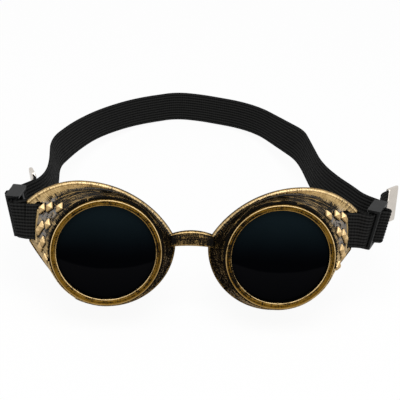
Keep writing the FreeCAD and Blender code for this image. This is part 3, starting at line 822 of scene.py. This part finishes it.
def raised(plan, depth):
    """Plan points at a depth, as points across, back and up."""
    return np.stack([plan[..., 0], np.broadcast_to(depth, plan.shape[:2]), plan[..., 1]], -1)


def rings(rays, profile):
    """Circles about the lens axis, one for each radius and depth of a profile."""
    profile = np.array(profile)
    return raised(rays[:, None] * profile[None, :, :1], profile[:, 1])


def mixed(shares, **values):
    """A value over the rim: the sum of the values of its stretches times their shares."""
    return sum(shares[name] * value for name, value in values.items())


def fillet(rim, way):
    """Share of the hollow corner between wall and brow bead: a smooth step near the end of the way."""
    return (rim.shares["crown"] + 0.9 * rim.shares["brow"]) * smooth(way, 0.82, 0.92)


def wall_polish(rim, way):
    """Polish of the wall, high on the cheek, beside the studs and towards the wing's tip."""
    polish_and_highlight = mixed(rim.shares, brow=0.10, crown=0.16, studs=0.30, cheek=0.44, below=0.10, nose=0.10)
    return polish_and_highlight + 0.14 * rim.wing * smooth(way, 0.66, 0.9) + 0.04 * fillet(rim, way)


def plain_wear(rim, gilt):
    """Wear of a cup's face and inside: little gold, as polished as the end of the wall."""
    return {"gilt": gilt, "polish_and_highlight": wall_polish(rim, 1.0), "grey_reflection": 0.0, "swept": 0.0, "gloss": 0.03}


def cup_face(cup, rim):
    """Flat front face of the collar, as rings."""
    profile = [
        (cup.socket_radius, cup.collar_front + cup.edge_round),
        (cup.socket_radius + cup.edge_round, cup.collar_front),
        (cup.collar_radius - 1.6 * cup.collar_round, cup.collar_front),
    ]
    return rings(rim.rays, profile), plain_wear(rim, np.array([INSIDE_GILT, FACE_GILT, FACE_GILT]))


def bead_points(cup, rim, turn):
    """Points on the bead's circles: out from each middle by the cosine of a turn and back by its sine."""
    plan = rim.bead_plan[:, None] + rim.normal[:, None] * (rim.bead_radius * np.cos(turn))[..., None]
    return raised(plan, cup.cup_depth - rim.bead_radius + rim.bead_radius * np.sin(turn))


def cup_wall(cup, rim):
    """Flared wall: straight lines from the collar's circle to the rim.

    The lines sink by a squared sine of the way between collar and rim, and a high power of the way leads them
    into the bead's circles.
    """
    way = np.linspace(0, 1, WALL_COLUMNS)
    entry = bead_points(cup, rim, cup.bead_start)[:, 0]
    fall = cup.cup_depth - cup.collar_front
    first = cup.collar_round / fall
    last = (entry[:, 1:2] - cup.collar_front) / fall
    reached = first + (last - first) * way
    front = rim.rays * cup.collar_radius
    flare = rim.plan - front
    sink = cup.valley * window(rim.degrees, *VALLEY_SPAN) * np.sin(np.pi * way) ** 2
    lead = entry[:, [0, 2]] - front - flare * last
    plan = front[:, None] + flare[:, None] * reached[..., None]
    plan = plan - rim.normal[:, None] * sink[..., None] + lead[:, None] * way[:, None] ** LEAD_POWER
    points = raised(plan, cup.collar_front + reached * fall)
    return points, wall_wear(cup, rim, way, points)


def wall_wear(cup, rim, way, points):
    """Wear of the wall: gold on wing, cheek and slot edge, and little in the valley and at the nose."""
    brow, crown, studs = [rim.shares[name] for name in ("brow", "crown", "studs")]
    low, high = cup.slot_middle - cup.slot_height / 2, cup.slot_middle + cup.slot_height / 2
    slot_edge = window(points[..., 1], cup.slot_front - cup.slot_wear, cup.slot_front, cup.slot_wear / 3)
    slot_edge = slot_edge * window(points[..., 2], low, high, MM) * (points[..., 0] > cup.slot_inner)
    gilt = mixed(rim.shares, brow=0.31, crown=0.38, studs=0.40, cheek=0.70, below=0.56, nose=0.31)
    gilt = gilt - 0.08 * brow * smooth(way, 0.35, 0.8) + 0.08 * (1 - smooth(way, 0.02, 0.12))
    gilt = gilt + 0.22 * rim.wing * smooth(way, 0.70, 0.90) + 0.30 * fillet(rim, way)
    groove = window(way, 0.74, 0.79, 0.03) * window(rim.degrees, *GROOVE_SPAN)
    return {
        "gilt": gilt + 0.5 * slot_edge,
        "polish_and_highlight": wall_polish(rim, way) + 0.3 * slot_edge,
        # Painted reflection of the light on the glossy black plastic in the stud field
        "grey_reflection": 0.68 * studs * window(way, 0.15, 0.84, 0.1),
        "swept": (brow + crown) * (1 - smooth(way, 0.6, 0.9)),
        "gloss": 0.30 * studs + 0.15 * crown + 0.35 * groove,
    }


def cup_bead(cup, rim):
    """Brow bead, from the wall's end to the rear face, bright along its front and narrower so at the nose."""
    turn = np.linspace(cup.bead_start, math.pi / 2, BEAD_COLUMNS)[1:]
    turned = np.degrees(turn)
    narrow = smooth(rim.degrees, 75, 115)
    front = window(turned, -100, -14, 14) * (1 - narrow) + window(turned, -62, -30, 14) * narrow
    # Painted highlight along the bead where it faces up and forward, towards the light
    crest = window(turned, -62, -50, 13) * (1 - 0.25 * narrow)
    wear = {
        "gilt": 0.46 + rim.bead * (0.36 * front - 0.16),
        "polish_and_highlight": 0.12 + rim.bead * (0.04 * front + 0.80 * crest),
        "grey_reflection": 0.0,
        "swept": 0.0,
        "gloss": 0.5 * rim.bead * window(turned, -80, -20, 20),
    }
    return bead_points(cup, rim, turn), wear


def cup_inside(cup, rim):
    """Rear edge, hollow, bore, lens seat and socket: straight lines to the cavity, then rings."""
    small = cup.edge_round
    inner = rim.plan * (1 - cup.cup_wall / np.linalg.norm(rim.plan, axis=1, keepdims=True))
    land = inner + (rim.plan - inner) * cup.rim_land
    way = np.linspace(0, 1, HOLLOW_COLUMNS)[1:]
    hollow = inner[:, None] + (rim.rays * cup.cavity_radius - inner)[:, None] * way[:, None]
    profile = [
        (cup.bore_radius + small, cup.cavity_front),
        (cup.bore_radius, cup.cavity_front - small),
        (cup.bore_radius, cup.seat_front + small),
        (cup.bore_radius + small, cup.seat_front),
        (cup.seat_radius - small, cup.seat_front),
        (cup.seat_radius, cup.seat_front + small),
        (cup.seat_radius, cup.socket_back - small),
        (cup.seat_radius + small, cup.socket_back),
        (cup.socket_radius - small, cup.socket_back),
        (cup.socket_radius, cup.socket_back - small),
    ]
    columns = [
        raised(land[:, None], cup.cup_depth),
        raised(inner[:, None], cup.cup_depth - 2 * small),
        raised(hollow, cup.cup_depth + (cup.cavity_front - cup.cup_depth) * way),
        rings(rim.rays, profile),
    ]
    return np.concatenate(columns, 1), plain_wear(rim, INSIDE_GILT)


def stud_shade(points, side, reach):
    """1 beside the studs' edges, falling to 0 at a reach, by the distance to the nearest edge sample."""
    mesh = frame["nodes"][side + "_studs"].data
    corners = np.empty(3 * len(mesh.vertices))
    mesh.vertices.foreach_get("co", corners)
    pairs = np.empty(2 * len(mesh.edges), int)
    mesh.edges.foreach_get("vertices", pairs)
    ends = corners.reshape(-1, 3)[pairs.reshape(-1, 2)]
    t = np.linspace(0, 1, 5)[:, None]
    samples = (ends[:, :1] * (1 - t) + ends[:, 1:] * t).reshape(-1, 3)
    grain = reach / 4
    samples = np.unique(np.round(samples / grain), axis=0) * grain
    near = ((points > samples.min(0) - reach) & (points < samples.max(0) + reach)).all(-1)
    chosen = points[near]
    nearest = np.full(len(chosen), np.inf)
    for batch in np.array_split(samples, SHADE_BATCHES):
        nearest = np.minimum(nearest, np.linalg.norm(chosen[:, None] - batch[None], axis=-1).min(1))
    shade = np.zeros(points.shape[:2])
    shade[near] = 1 - smooth(nearest, 0.3 * reach, reach)
    return shade


def cut_slots(piece, cup, sign):
    """Cuts the strap's two slots out of a wing with boxes, and keeps the strip of wall between them."""
    half = cup.slot_height / 2
    outside = cup.collar_radius * 2
    box_faces = [(0, 1, 3, 2), (4, 6, 7, 5), (0, 4, 5, 1), (2, 3, 7, 6), (0, 2, 6, 4), (1, 5, 7, 3)]
    for front, rear in ((cup.slot_front, cup.strip_front), (cup.strip_rear, cup.cup_depth * 1.5)):
        ranges = ((cup.slot_inner, outside), (front, rear), (cup.slot_middle - half, cup.slot_middle + half))
        corners = beside_lens(np.array(list(itertools.product(*ranges))), sign)
        cutter = added("slot_cutter", made_mesh("slot_cutter", corners, [face[::sign] for face in box_faces]))
        modifier = piece.modifiers.new("slot", "BOOLEAN")
        modifier.operation = "DIFFERENCE"
        modifier.solver = "EXACT"
        modifier.object = cutter
        bpy.context.view_layer.update()
        cut = bpy.data.meshes.new_from_object(piece.evaluated_get(bpy.context.evaluated_depsgraph_get()))
        piece.modifiers.clear()
        piece.data = cut
        bpy.data.objects.remove(cutter)


class GOGGLES_OT_eye_cups(bpy.types.Operator):
    """Makes both eye cups with their brow beads and strap slots"""

    bl_idname = "goggles.eye_cups"
    bl_label = "Eye cups"

    def execute(self, context):
        settings = context.scene.goggles
        cup = settings.cup
        material = gilded("gilded_moulding", settings.finish)
        rim = rim_samples(cup)
        bands = [make(cup, rim) for make in (cup_face, cup_wall, cup_bead, cup_inside)]
        points = np.concatenate([grid for grid, values in bands], 1)
        wear = {}
        for key in bands[0][1]:
            spread = [np.broadcast_to(values[key], grid.shape[:2]) for grid, values in bands]
            wear[key] = np.concatenate(spread, 1)
        profile = running_length(points[len(points) // 3], True)
        for side, sign in sides.items():
            placed = beside_lens(points, sign)
            # Beside the studs: dry brush that misses the corners, and painted shade in the creases
            shade = stud_shade(placed, side, cup.stud_shade)
            shaded = {**wear, "gilt": wear["gilt"] - 0.6 * shade, "grey_reflection": wear["grey_reflection"] - 0.9 * shade}
            piece = grid_piece(side + "_cup_moulding", placed, True, rim.run, profile, shaded)
            cut_slots(piece, cup, sign)
            dress(piece, "frame", side + "_eyecup", material)
        return {"FINISHED"}


# Bezels
def worn(points, *values):
    """Profile points with their wear values beside them."""
    return np.column_stack([points, *(np.broadcast_to(value, len(points)) for value in values)])


def bezel_profile(bezel):
    """Closed profile of the ring: a round crest, a sunk band and an inner lip.

    Each row has radius, depth, gilt, and the polish_and_highlight of the ring's top and of its bottom:
    painted highlights on the crest at the top and on the inner lip at the bottom, as lit from above.
    """
    outer, inner, depth, edge = bezel.bezel_radius, bezel.opening_radius, bezel.bezel_depth, bezel.edge_round
    crest, bead, floor = bezel.crest / 2, bezel.lip_bead, bezel.band_drop + bezel.band_fall
    crest_turn = np.linspace(-20, 180, CREST_COLUMNS)
    lip_turn = np.linspace(20, 200, LIP_COLUMNS)
    # The crest's front carries a painted highlight, strong at the top of the ring
    ridge = window(crest_turn, 60, 88, 18)
    skirt = [
        (bezel.inner_skirt, bezel.bezel_lip),
        (bezel.inner_skirt, bezel.skirt_end),
        (bezel.skirt_radius, bezel.skirt_end),
        (bezel.skirt_radius, depth),
    ]
    return np.concatenate([
        worn(arc((outer - crest, crest), crest, -crest_turn),
             0.66 + 0.2 * window(crest_turn, 50, 110, 20), 0.02 + 0.90 * ridge, 0.02 + 0.34 * ridge),
        worn([(outer - 2 * crest - bezel.crest_gap, bezel.band_drop)], 0.58, 0.0, 0.0),
        worn([((outer + inner) / 2, floor)], 0.60, 0.01, 0.01),
        worn([(inner + 2.2 * bead, floor)], 0.50, 0.03, 0.03),
        worn(arc((inner + bead, floor + bead), bead, -lip_turn),
             0.70, 0.08, 0.10 + 0.80 * window(lip_turn, 100, 200, 25)),
        worn([(inner, bezel.bezel_lip * 0.45)], 0.30, 0.10, 0.30),
        worn([(inner, bezel.bezel_lip)], 0.10, 0.10, 0.10),
        worn(skirt, 0.10, 0.20, 0.20),
        worn([(outer - edge, depth)], 0.20, 0.10, 0.10),
        worn([(outer, depth - edge)], 0.25, 0.10, 0.10),
        worn([(outer, depth * 0.6)], 0.45, 0.10, 0.10),
    ])


class GOGGLES_OT_bezels(bpy.types.Operator):
    """Makes both screw-on rings"""

    bl_idname = "goggles.bezels"
    bl_label = "Bezels"

    nose_darkening = {"left": 0.06, "right": 0.16}

    def execute(self, context):
        settings = context.scene.goggles
        material = gilded("gilded_bezel", settings.finish, 0.3)
        profile = bezel_profile(settings.bezel)
        gilt, top_highlight_polish, low_highlight_polish = profile[:, 2:].T
        turn = np.arange(RING_ROWS + 1) * 2 * np.pi / RING_ROWS
        rays = rays_at(turn[:-1])
        points = rings(rays, profile[:, :2])
        # Painted highlights: the crest's at the top of the ring, the lip's at its bottom, as lit from above
        upper = smooth(rays[:, 1:], -0.5, 0.4)
        polish_and_highlight = top_highlight_polish * upper + low_highlight_polish * (1 - upper)
        around = turn * settings.bezel.bezel_radius
        over = running_length(profile[:, :2], True)
        for side, sign in sides.items():
            # Darker and less bright towards the nose, more so on the right ring
            dull = self.nose_darkening[side] * smooth(-rays[:, :1], 0.2, 0.9)
            wear = {
                "gilt": gilt - 0.02 - dull,
                "polish_and_highlight": polish_and_highlight * (1 - 2 * dull),
                "grey_reflection": 0.0,
                "swept": 0.5,
                "gloss": 0.02,
            }
            piece = grid_piece(side + "_bezel_ring", beside_lens(points, sign), True, around, over, wear)
            dress(piece, side + "_bezel_body", side + "_bezel", material)
        return {"FINISHED"}


def finish_nodes(kind, material, swell=0.0, rounding=0.0):
    """Gives the CAD nodes of a kind a finish on both sides, and rounds their edges if a rounding is given."""
    for side in sides:
        node = frame["nodes"][side + kind]
        paint(node, material)
        if rounding:
            soften(node, swell, rounding)


class GOGGLES_OT_lenses(bpy.types.Operator):
    """Finishes both lenses"""

    bl_idname = "goggles.lenses"
    bl_label = "Lenses"

    def execute(self, context):
        settings = context.scene.goggles
        finish_nodes("_lens", dark_lens(settings.finish, settings.bezel.opening_radius))
        return {"FINISHED"}


class GOGGLES_OT_studs(bpy.types.Operator):
    """Finishes the diamond studs of both wings"""

    bl_idname = "goggles.studs"
    bl_label = "Studs"

    def execute(self, context):
        settings = context.scene.goggles
        material = gilded_studs(settings.finish)
        finish_nodes("_studs", material, settings.cup.stud_swell, settings.cup.stud_round)
        return {"FINISHED"}


# Nose bridge
def bridge_profile(bridge):
    """Closed profile of the bridge in depth and height, with gilt and polish.

    Round corners are quarter circles, and the bead along the top is most of a circle, with a painted
    highlight along its upper front.
    """
    front, rear, top, edge = bridge.front, bridge.rear, bridge.height, bridge.edge_round
    bead = bridge.bead_radius
    bead_middle = (rear - bead, top - bridge.bead_inset)
    return np.concatenate([
        worn(arc((front + edge, edge), edge, np.linspace(270, 180, 6)), 0.64, 0.20),
        worn([(front, edge * 1.6)], 0.42, 0.16),
        worn([(front, top / 2)], 0.38, 0.14),
        worn([(front, top - edge * 1.6)], 0.36, 0.14),
        worn(arc((front + edge, top - edge), edge, np.linspace(180, 90, 7)), 0.42, 0.14),
        worn([(front + 2.2 * edge, top)], 0.36, 0.10),
        worn(arc(bead_middle, bead, np.linspace(168, 154, 3)), 0.44, 0.14),
        # Painted highlight along the bead's upper front
        worn(arc(bead_middle, bead, np.linspace(148, 132, 4)), 0.72, 0.52),
        worn(arc(bead_middle, bead, np.linspace(122, 0, 10)), 0.46, 0.10),
        worn([(rear, top / 2)], 0.20, 0.10),
        worn(arc((rear - edge, edge), edge, np.linspace(0, -90, 6)), 0.20, 0.10),
    ])


class GOGGLES_OT_nose_bridge(bpy.types.Operator):
    """Makes the arched nose bridge"""

    bl_idname = "goggles.nose_bridge"
    bl_label = "Nose bridge"

    def execute(self, context):
        settings = context.scene.goggles
        bridge = settings.bridge
        depth, height, gilt, polish_and_highlight = bridge_profile(bridge).T
        x = np.linspace(-bridge.half_length, bridge.half_length, BRIDGE_ROWS)[:, None]
        lift = bridge.bottom + bridge.arch * (1 - (x / bridge.arch_half) ** 2)
        tall = 1 - bridge.end_taper * (x / bridge.half_length) ** 2
        points = np.stack(np.broadcast_arrays(x, depth, lift + tall * height), -1)
        # Painted shade: darker and less bright towards both ends, where the bar meets the cups
        painted_end_shade = smooth(np.abs(x), bridge.half_length * 0.62, bridge.half_length * 0.9)
        wear = {
            "gilt": gilt - 0.14 * painted_end_shade,
            "polish_and_highlight": polish_and_highlight * (1 - 0.6 * painted_end_shade),
            "grey_reflection": 0.0,
            "swept": 0.2,
            "gloss": 0.05,
        }
        over = running_length(np.stack([depth, height], -1), True)
        piece = grid_piece("arched_bridge", to_world(points), False, x[:, 0], over, wear)
        dress(piece, "frame", "nose_bridge", gilded("gilded_bridge", settings.finish))
        return {"FINISHED"}


# Route of the strap, in plan: metres across from the middle of the goggles and back from the strip
Doubled = namedtuple("Doubled", "turn heading normal lean corners start")
ARC_SHARE = 0.49


def outward(run):
    """Unit vector square to a run in plan, on the outer side of the loop."""
    ahead = unit(np.asarray(run, float))
    return np.array([ahead[1], -ahead[0]])


def cross(first, second):
    """Cross product of two plan vectors."""
    return first[0] * second[1] - first[1] * second[0]


def bend_angle(before, after):
    """Angle between two runs in plan, from their cross and dot products."""
    first, second = unit(before), unit(after)
    return math.atan2(abs(cross(first, second)), first @ second)


def bend_reach(before, after, radius):
    """Distance from a corner to the ends of an arc: the radius times the tangent of half the bend."""
    return radius * math.tan(bend_angle(before, after) / 2)


def doubled_stretch(strap, route, wing, upright):
    """The doubled stretch of the strap, from its turn at the wing to the start of the slider.

    The layers' corners lie on the mitre between the wing's layers and the doubled ones, half a step to each
    side of the turn. The slider starts where the bends of both layers have ended on both edges.
    """
    turned = math.radians(route["heading"])
    heading = np.array([math.sin(turned), math.cos(turned)])
    normal = outward(heading)
    lean = normal * route["lean"] * MM
    turn = np.array([wing, 0]) + np.array(route["turn"]) * MM
    mitre = (np.array([0, -1]) + normal) / (1 - normal[1]) * strap.layer_step / 2
    corners = (turn + mitre, turn - mitre)
    starts = []
    for corner, depth, radius in ((corners[0], -strap.wrap_radius, strap.fold_radius),
                                  (corners[1], strap.wrap_radius, strap.inner_fold_radius)):
        for half in (-0.5, 0.5):
            leaving = np.array([wing, depth]) + upright * half
            reach = bend_reach(corner + lean * half - leaving, heading, radius)
            starts.append(reach + (corner - turn) @ heading)
    return Doubled(turn, heading, normal, lean, corners, max(starts) + strap.slider_gap)


def side_route(strap, side):
    """Places in plan, leans of the top edge and bend radii of one side, from its tail to the back."""
    route = side_routes[side]
    wing = half_spacing + strap.wing_out
    inner = half_spacing + strap.strip_out - strap.wrap_radius
    upright = np.array([0, strap.width * math.tan(strap.rise)])
    double = doubled_stretch(strap, route, wing, upright)
    end = double.start + strap.slider_length + strap.slider_travel + strap.bend_radius
    bulge_start = double.start + strap.slider_bar + strap.slider_travel + strap.slider_gap
    bulge_end = double.start + strap.slider_length - strap.slider_bar - strap.slider_gap
    bulge_ramp = (bulge_end - bulge_start - strap.bulge_top) / 2
    layer = strap.layer_step / 2
    bulge = layer + route["bulge"] * MM

    def on_double(run, out):
        """Place at a run along the doubled stretch and a distance out from its middle."""
        return double.turn + double.heading * run + double.normal * out

    def past_slider(place):
        """Place measured from the end of the slider's run."""
        return on_double(end, 0) + np.array(place) * MM

    tail = [past_slider(place) for place in route["tail"]]
    tail_lean = outward(tail[1] - tail[0]) * route["tail_lean"] * MM
    places = [
        (tail[1], tail_lean, 0.0),
        (tail[0], tail_lean, strap.tail_radius),
        (on_double(end, layer), double.lean, strap.bend_radius),
        (on_double(bulge_end, layer), double.lean, strap.bulge_radius),
        (on_double(bulge_end - bulge_ramp, bulge), double.lean, strap.bulge_radius),
        (on_double(bulge_start + bulge_ramp, bulge), double.lean, strap.bulge_radius),
        (on_double(bulge_start, layer), double.lean, strap.bulge_radius),
        (double.corners[0], double.lean, strap.fold_radius),
        (np.array([wing, -strap.wrap_radius]), upright, strap.bend_radius),
        (np.array([inner, -strap.wrap_radius]), upright, strap.wrap_radius),
        (np.array([inner, strap.wrap_radius]), upright, strap.wrap_radius),
        (np.array([wing, strap.wrap_radius]), upright, strap.bend_radius),
        (double.corners[1], double.lean, strap.inner_fold_radius),
        (on_double(end, -layer), double.lean, strap.bend_radius),
    ]
    loop = [(past_slider(place), np.array(tilt) * MM, strap.loop_radius) for place, tilt in route["loop"]]
    return places + loop


def edge_line(places, radii, straights, bends):
    """Line of one edge in plan: straight runs joined by tangent arcs, each with a set count of samples.

    An arc takes up at most half of the shorter run beside it.
    """
    runs = np.diff(places, axis=0)
    line = []
    start = places[0]
    for index in range(1, len(places) - 1):
        before, after = unit(runs[index - 1]), unit(runs[index])
        shortest = np.linalg.norm(runs[index - 1:index + 1], axis=1).min()
        per_radius = bend_reach(before, after, 1.0)
        reach = min(radii[index] * per_radius, ARC_SHARE * shortest)
        radius = reach / per_radius
        first = places[index] - before * reach
        side = np.array([-before[1], before[0]]) * math.copysign(1, cross(before, after))
        straight = np.linspace(0, 1, straights[index - 1], endpoint=False)[:, None]
        line.append(start + (first - start) * straight)
        turn = np.linspace(0, bend_angle(before, after), bends[index - 1], endpoint=False)[:, None]
        line.append(first + before * radius * np.sin(turn) + side * radius * (1 - np.cos(turn)))
        start = places[index] + after * reach
    straight = np.linspace(0, 1, straights[-1])[:, None]
    line.append(start + (places[-1] - start) * straight)
    return np.concatenate(line)


def strap_edges(strap, middle_height):
    """Lower and upper edge of the strap's middle surface, in the row frame, sampled side by side."""
    mirror = np.array([-1, 1])
    left = [(place * mirror, lean * mirror, radius) for place, lean, radius in side_route(strap, "left")]
    places, leans, radii = [np.array(values) for values in zip(*left, *side_route(strap, "right")[::-1])]
    runs = np.diff(places, axis=0)
    straights = [max(STRAP_SAMPLES, int(np.linalg.norm(run) / STRAP_STEP)) for run in runs]
    bends = [max(BEND_SAMPLES, int(math.degrees(bend_angle(before, after)) / BEND_STEP))
             for before, after in zip(runs, runs[1:])]
    cos, sin = math.cos(strap.rise), math.sin(strap.rise)
    edges = []
    for half in (-0.5, 0.5):
        line = edge_line(places + leans * half, radii, straights, bends)
        height = half * strap.width
        depth = strap.strip_depth + line[:, 1] * cos - height * sin
        level = middle_height + line[:, 1] * sin + height * cos
        edges.append(to_world(np.stack([line[:, 0], depth, level], -1)))
    return edges


# Strap
EDGE_CROWDING = 0.35 * math.pi / 2
EDGE_POWER = 18


def webbing_grid(strap, low, high):
    """The strap as a closed ribbed profile carried along its route, with its map and its grooves.

    Across the width the thickness is a cosine of as many waves as there are ribs, closed to nothing at both
    edges by a high power of the place across, and samples crowd towards the edges by a sine. The profile lies
    along the normal of the ruled surface between the two edges.
    """
    middle = (low + high) / 2
    over = high - low
    normal = np.cross(np.gradient(middle, axis=0), over)
    normal /= np.linalg.norm(normal, axis=1, keepdims=True)
    face = np.sin(np.linspace(-1, 1, RIB_COLUMNS * strap.ribs) * EDGE_CROWDING) / math.sin(EDGE_CROWDING) / 2
    wave = 0.5 + 0.5 * np.cos(2 * np.pi * strap.ribs * (face + 0.5))
    closing = np.sqrt(np.clip(1 - np.abs(2 * face) ** EDGE_POWER, 0, 1))
    half = (strap.thickness / 2 - strap.rib_depth * wave) * closing
    returning = slice(-2, 0, -1)
    place = np.concatenate([face, face[returning]])
    thick = np.concatenate([half, -half[returning]])
    groove = np.concatenate([wave, wave[returning]])
    points = middle[:, None] + over[:, None] * place[:, None] + normal[:, None] * thick[:, None]
    around = np.concatenate([face + 0.5, 1.5 - face[returning], [2.0]]) * strap.width
    return points, running_length(middle, False), around, groove


class GOGGLES_OT_strap(bpy.types.Operator):
    """Makes the ribbed elastic strap"""

    bl_idname = "goggles.strap"
    bl_label = "Strap"

    def execute(self, context):
        settings = context.scene.goggles
        strap = settings.strap
        points, run, around, groove = webbing_grid(strap, *strap_edges(strap, settings.cup.slot_middle))
        piece = grid_piece("elastic_strap", points, False, run, around, {"groove": groove})
        dress(piece, "frame", "strap", ribbed_webbing(settings.finish))
        return {"FINISHED"}


class GOGGLES_OT_sliders(bpy.types.Operator):
    """Finishes both strap sliders"""

    bl_idname = "goggles.sliders"
    bl_label = "Sliders"

    def execute(self, context):
        settings = context.scene.goggles
        material = satin_plastic(settings.finish)
        finish_nodes("_slider", material, rounding=settings.strap.slider_round)
        return {"FINISHED"}


# Strap tips
TIP_SQUARENESS = 0.25
TIP_FOLD_START = 0.06


def tip_grid(strap, low, high):
    """A metal end as a flat rounded ring carried over the strap's end.

    The ring is a superellipse of high power across the strap's width and thickness. It closes to a thin line
    at the fold by a quarter circle, and its path is the strap's middle line with a straight run past its end.
    """
    middle = (low + high) / 2
    run = running_length(middle, False)
    half = strap.thickness / 2 + strap.tip_plate
    fold = half * (1 - np.cos(np.linspace(TIP_FOLD_START, np.pi / 2, TIP_FOLD_ROWS)))
    distance = np.concatenate([fold, np.linspace(half, strap.tip_length, TIP_ROWS)[1:]])
    along = distance - (strap.tip_length - strap.tip_grip)
    on_strap = np.maximum(along, 0)
    edges = [np.stack([np.interp(on_strap, run, edge[:, k]) for k in range(3)], -1) for edge in (low, high)]
    ahead = unit(middle[1] - middle[0])
    centre = (edges[0] + edges[1]) / 2 + (along - on_strap)[:, None] * ahead
    over = edges[1] - edges[0]
    over /= np.linalg.norm(over, axis=1, keepdims=True)
    rays = rays_at(np.arange(TIP_COLUMNS) * 2 * np.pi / TIP_COLUMNS)
    square = np.sign(rays) * np.abs(rays) ** TIP_SQUARENESS
    wide = square[:, :1] * (strap.width / 2 + strap.tip_plate)
    swell = np.sqrt(np.clip(half ** 2 - np.maximum(half - distance, 0) ** 2, 0, None))
    thick = swell[:, None, None] * square[:, 1:]
    return centre[:, None] + over[:, None] * wide + np.cross(ahead, over)[:, None] * thick, distance


class GOGGLES_OT_strap_tips(bpy.types.Operator):
    """Makes the metal ends of the strap"""

    bl_idname = "goggles.strap_tips"
    bl_label = "Strap tips"

    def execute(self, context):
        settings = context.scene.goggles
        material = nickel_plate(settings.finish)
        low, high = strap_edges(settings.strap, settings.cup.slot_middle)
        around = np.arange(TIP_COLUMNS + 1) * settings.strap.width * 2 / TIP_COLUMNS
        for side, sign in sides.items():
            points, distance = tip_grid(settings.strap, low[::-sign], high[::-sign])
            piece = grid_piece(side + "_metal_tip", points, False, distance, around, {})
            dress(piece, "frame", side + "_strap_tip", material)
        return {"FINISHED"}


# Stage
def set_camera(scene, stage):
    """Camera at a distance from the middle of the lenses, raised, turned, rolled and shifted."""
    right = np.array([math.cos(stage.turn), -math.sin(stage.turn), 0])
    ahead = np.array([math.sin(stage.turn) * math.cos(stage.elevation),
                      math.cos(stage.turn) * math.cos(stage.elevation), -math.sin(stage.elevation)])
    above = np.cross(right, ahead)
    stand = -stage.distance * (ahead + right * stage.shift_across - above * stage.shift_down)
    cos, sin = math.cos(stage.roll), math.sin(stage.roll)
    axes = np.stack([right * cos + above * sin, above * cos - right * sin, -ahead])
    turned = axes @ np.stack([across, back, up])
    camera = bpy.data.cameras.new("camera")
    camera.sensor_width = SENSOR
    camera.lens = stage.focal_length
    camera.clip_start, camera.clip_end = CLIP
    item = added("camera", camera)
    item.matrix_world = Matrix.Translation(Vector(to_world(stand))) @ Matrix(turned.T.tolist()).to_4x4()
    scene.camera = item


def soft_lamp(name, place, target, size, watts):
    """A square soft light that faces a target."""
    lamp = bpy.data.lights.new(name, "AREA")
    lamp.size = size
    lamp.energy = watts
    item = added(name, lamp)
    item.location = place
    item.rotation_euler = (Vector(target) - Vector(place)).to_track_quat("-Z", "Y").to_euler()


def seen_directly(shade):
    """1 for rays from the camera and for mirrored or passed rays, and 0 for the rays that only light."""
    rays = [shade.node("ShaderNodeLightPath", output="Is " + kind + " Ray")
            for kind in ("Camera", "Glossy", "Transmission")]
    return shade.math("MAXIMUM", shade.math("MAXIMUM", rays[0], rays[1]), rays[2])


def floor_paint(stage, finish):
    """Pale floor that shows white, with a faint shadow of the object."""
    material = bpy.data.materials.new("pale_floor")
    material.use_nodes = True
    tree = material.node_tree
    shade = Shade(tree)
    tree.nodes.remove(tree.nodes["Principled BSDF"])
    matt = shade.node("ShaderNodeBsdfDiffuse", {}, {"Color": finish.floor_matt})
    white = shade.node("ShaderNodeEmission", {}, {"Color": finish.white, "Strength": 1.0})
    glow = seen_directly(shade) * stage.floor_glow
    mixed_paint = shade.node("ShaderNodeMixShader", {}, {0: glow, 1: matt, 2: white})
    shade.join(tree.nodes["Material Output"].inputs["Surface"], mixed_paint)
    return material


class GOGGLES_OT_stage(bpy.types.Operator):
    """Sets up the camera, the pale floor and the soft light"""

    bl_idname = "goggles.stage"
    bl_label = "Stage"

    def execute(self, context):
        scene = context.scene
        stage, finish = scene.goggles.stage, scene.goggles.finish
        scene.view_settings.view_transform = "Standard"
        set_camera(scene, stage)

        corners = np.array([[-1, -1, 0], [1, -1, 0], [1, 1, 0], [-1, 1, 0]]) * stage.floor_size
        floor = added("floor", made_mesh("floor", corners, [(0, 1, 2, 3)]))
        paint(floor, floor_paint(stage, finish))

        scene.world = bpy.data.worlds.new("studio")
        scene.world.use_nodes = True
        shade = Shade(scene.world.node_tree)
        background = scene.world.node_tree.nodes["Background"]
        shade.join(background.inputs["Color"], finish.white)
        shade.join(background.inputs["Strength"], seen_directly(shade).span(stage.ambient, 1.0))
        soft_lamp("overhead_light", stage.key_place, stage.key_target, stage.key_size, stage.key_power)
        soft_lamp("front_light", stage.fill_place, stage.fill_target, stage.fill_size, stage.fill_power)
        return {"FINISHED"}


class GOGGLES_PT_panel(bpy.types.Panel):
    """Sidebar list of the goggles' pieces"""

    bl_idname = "GOGGLES_PT_panel"
    bl_label = "Goggles"
    bl_space_type = "VIEW_3D"
    bl_region_type = "UI"
    bl_category = "Goggles"

    def draw(self, context):
        for operator in operators:
            self.layout.operator(operator.bl_idname)


operators = (
    GOGGLES_OT_stage,
    GOGGLES_OT_eye_cups,
    GOGGLES_OT_bezels,
    GOGGLES_OT_lenses,
    GOGGLES_OT_studs,
    GOGGLES_OT_nose_bridge,
    GOGGLES_OT_strap,
    GOGGLES_OT_sliders,
    GOGGLES_OT_strap_tips,
)
groups = (CupSizes, BezelSizes, BridgeSizes, StrapSizes, Finishes, StageSettings, GoggleSettings)
classes = groups + operators + (GOGGLES_PT_panel,)


def register():
    """Adds the classes, and the settings to every scene."""
    for item in classes:
        bpy.utils.register_class(item)
    bpy.types.Scene.goggles = PointerProperty(type=GoggleSettings)


def unregister():
    """Takes the settings and the classes away again."""
    del bpy.types.Scene.goggles
    for item in reversed(classes):
        bpy.utils.unregister_class(item)


def main():
    """Makes every piece in order."""
    register()
    for operator in operators:
        group, name = operator.bl_idname.split(".")
        getattr(getattr(bpy.ops, group), name)()


if __name__ == "__main__":
    main()
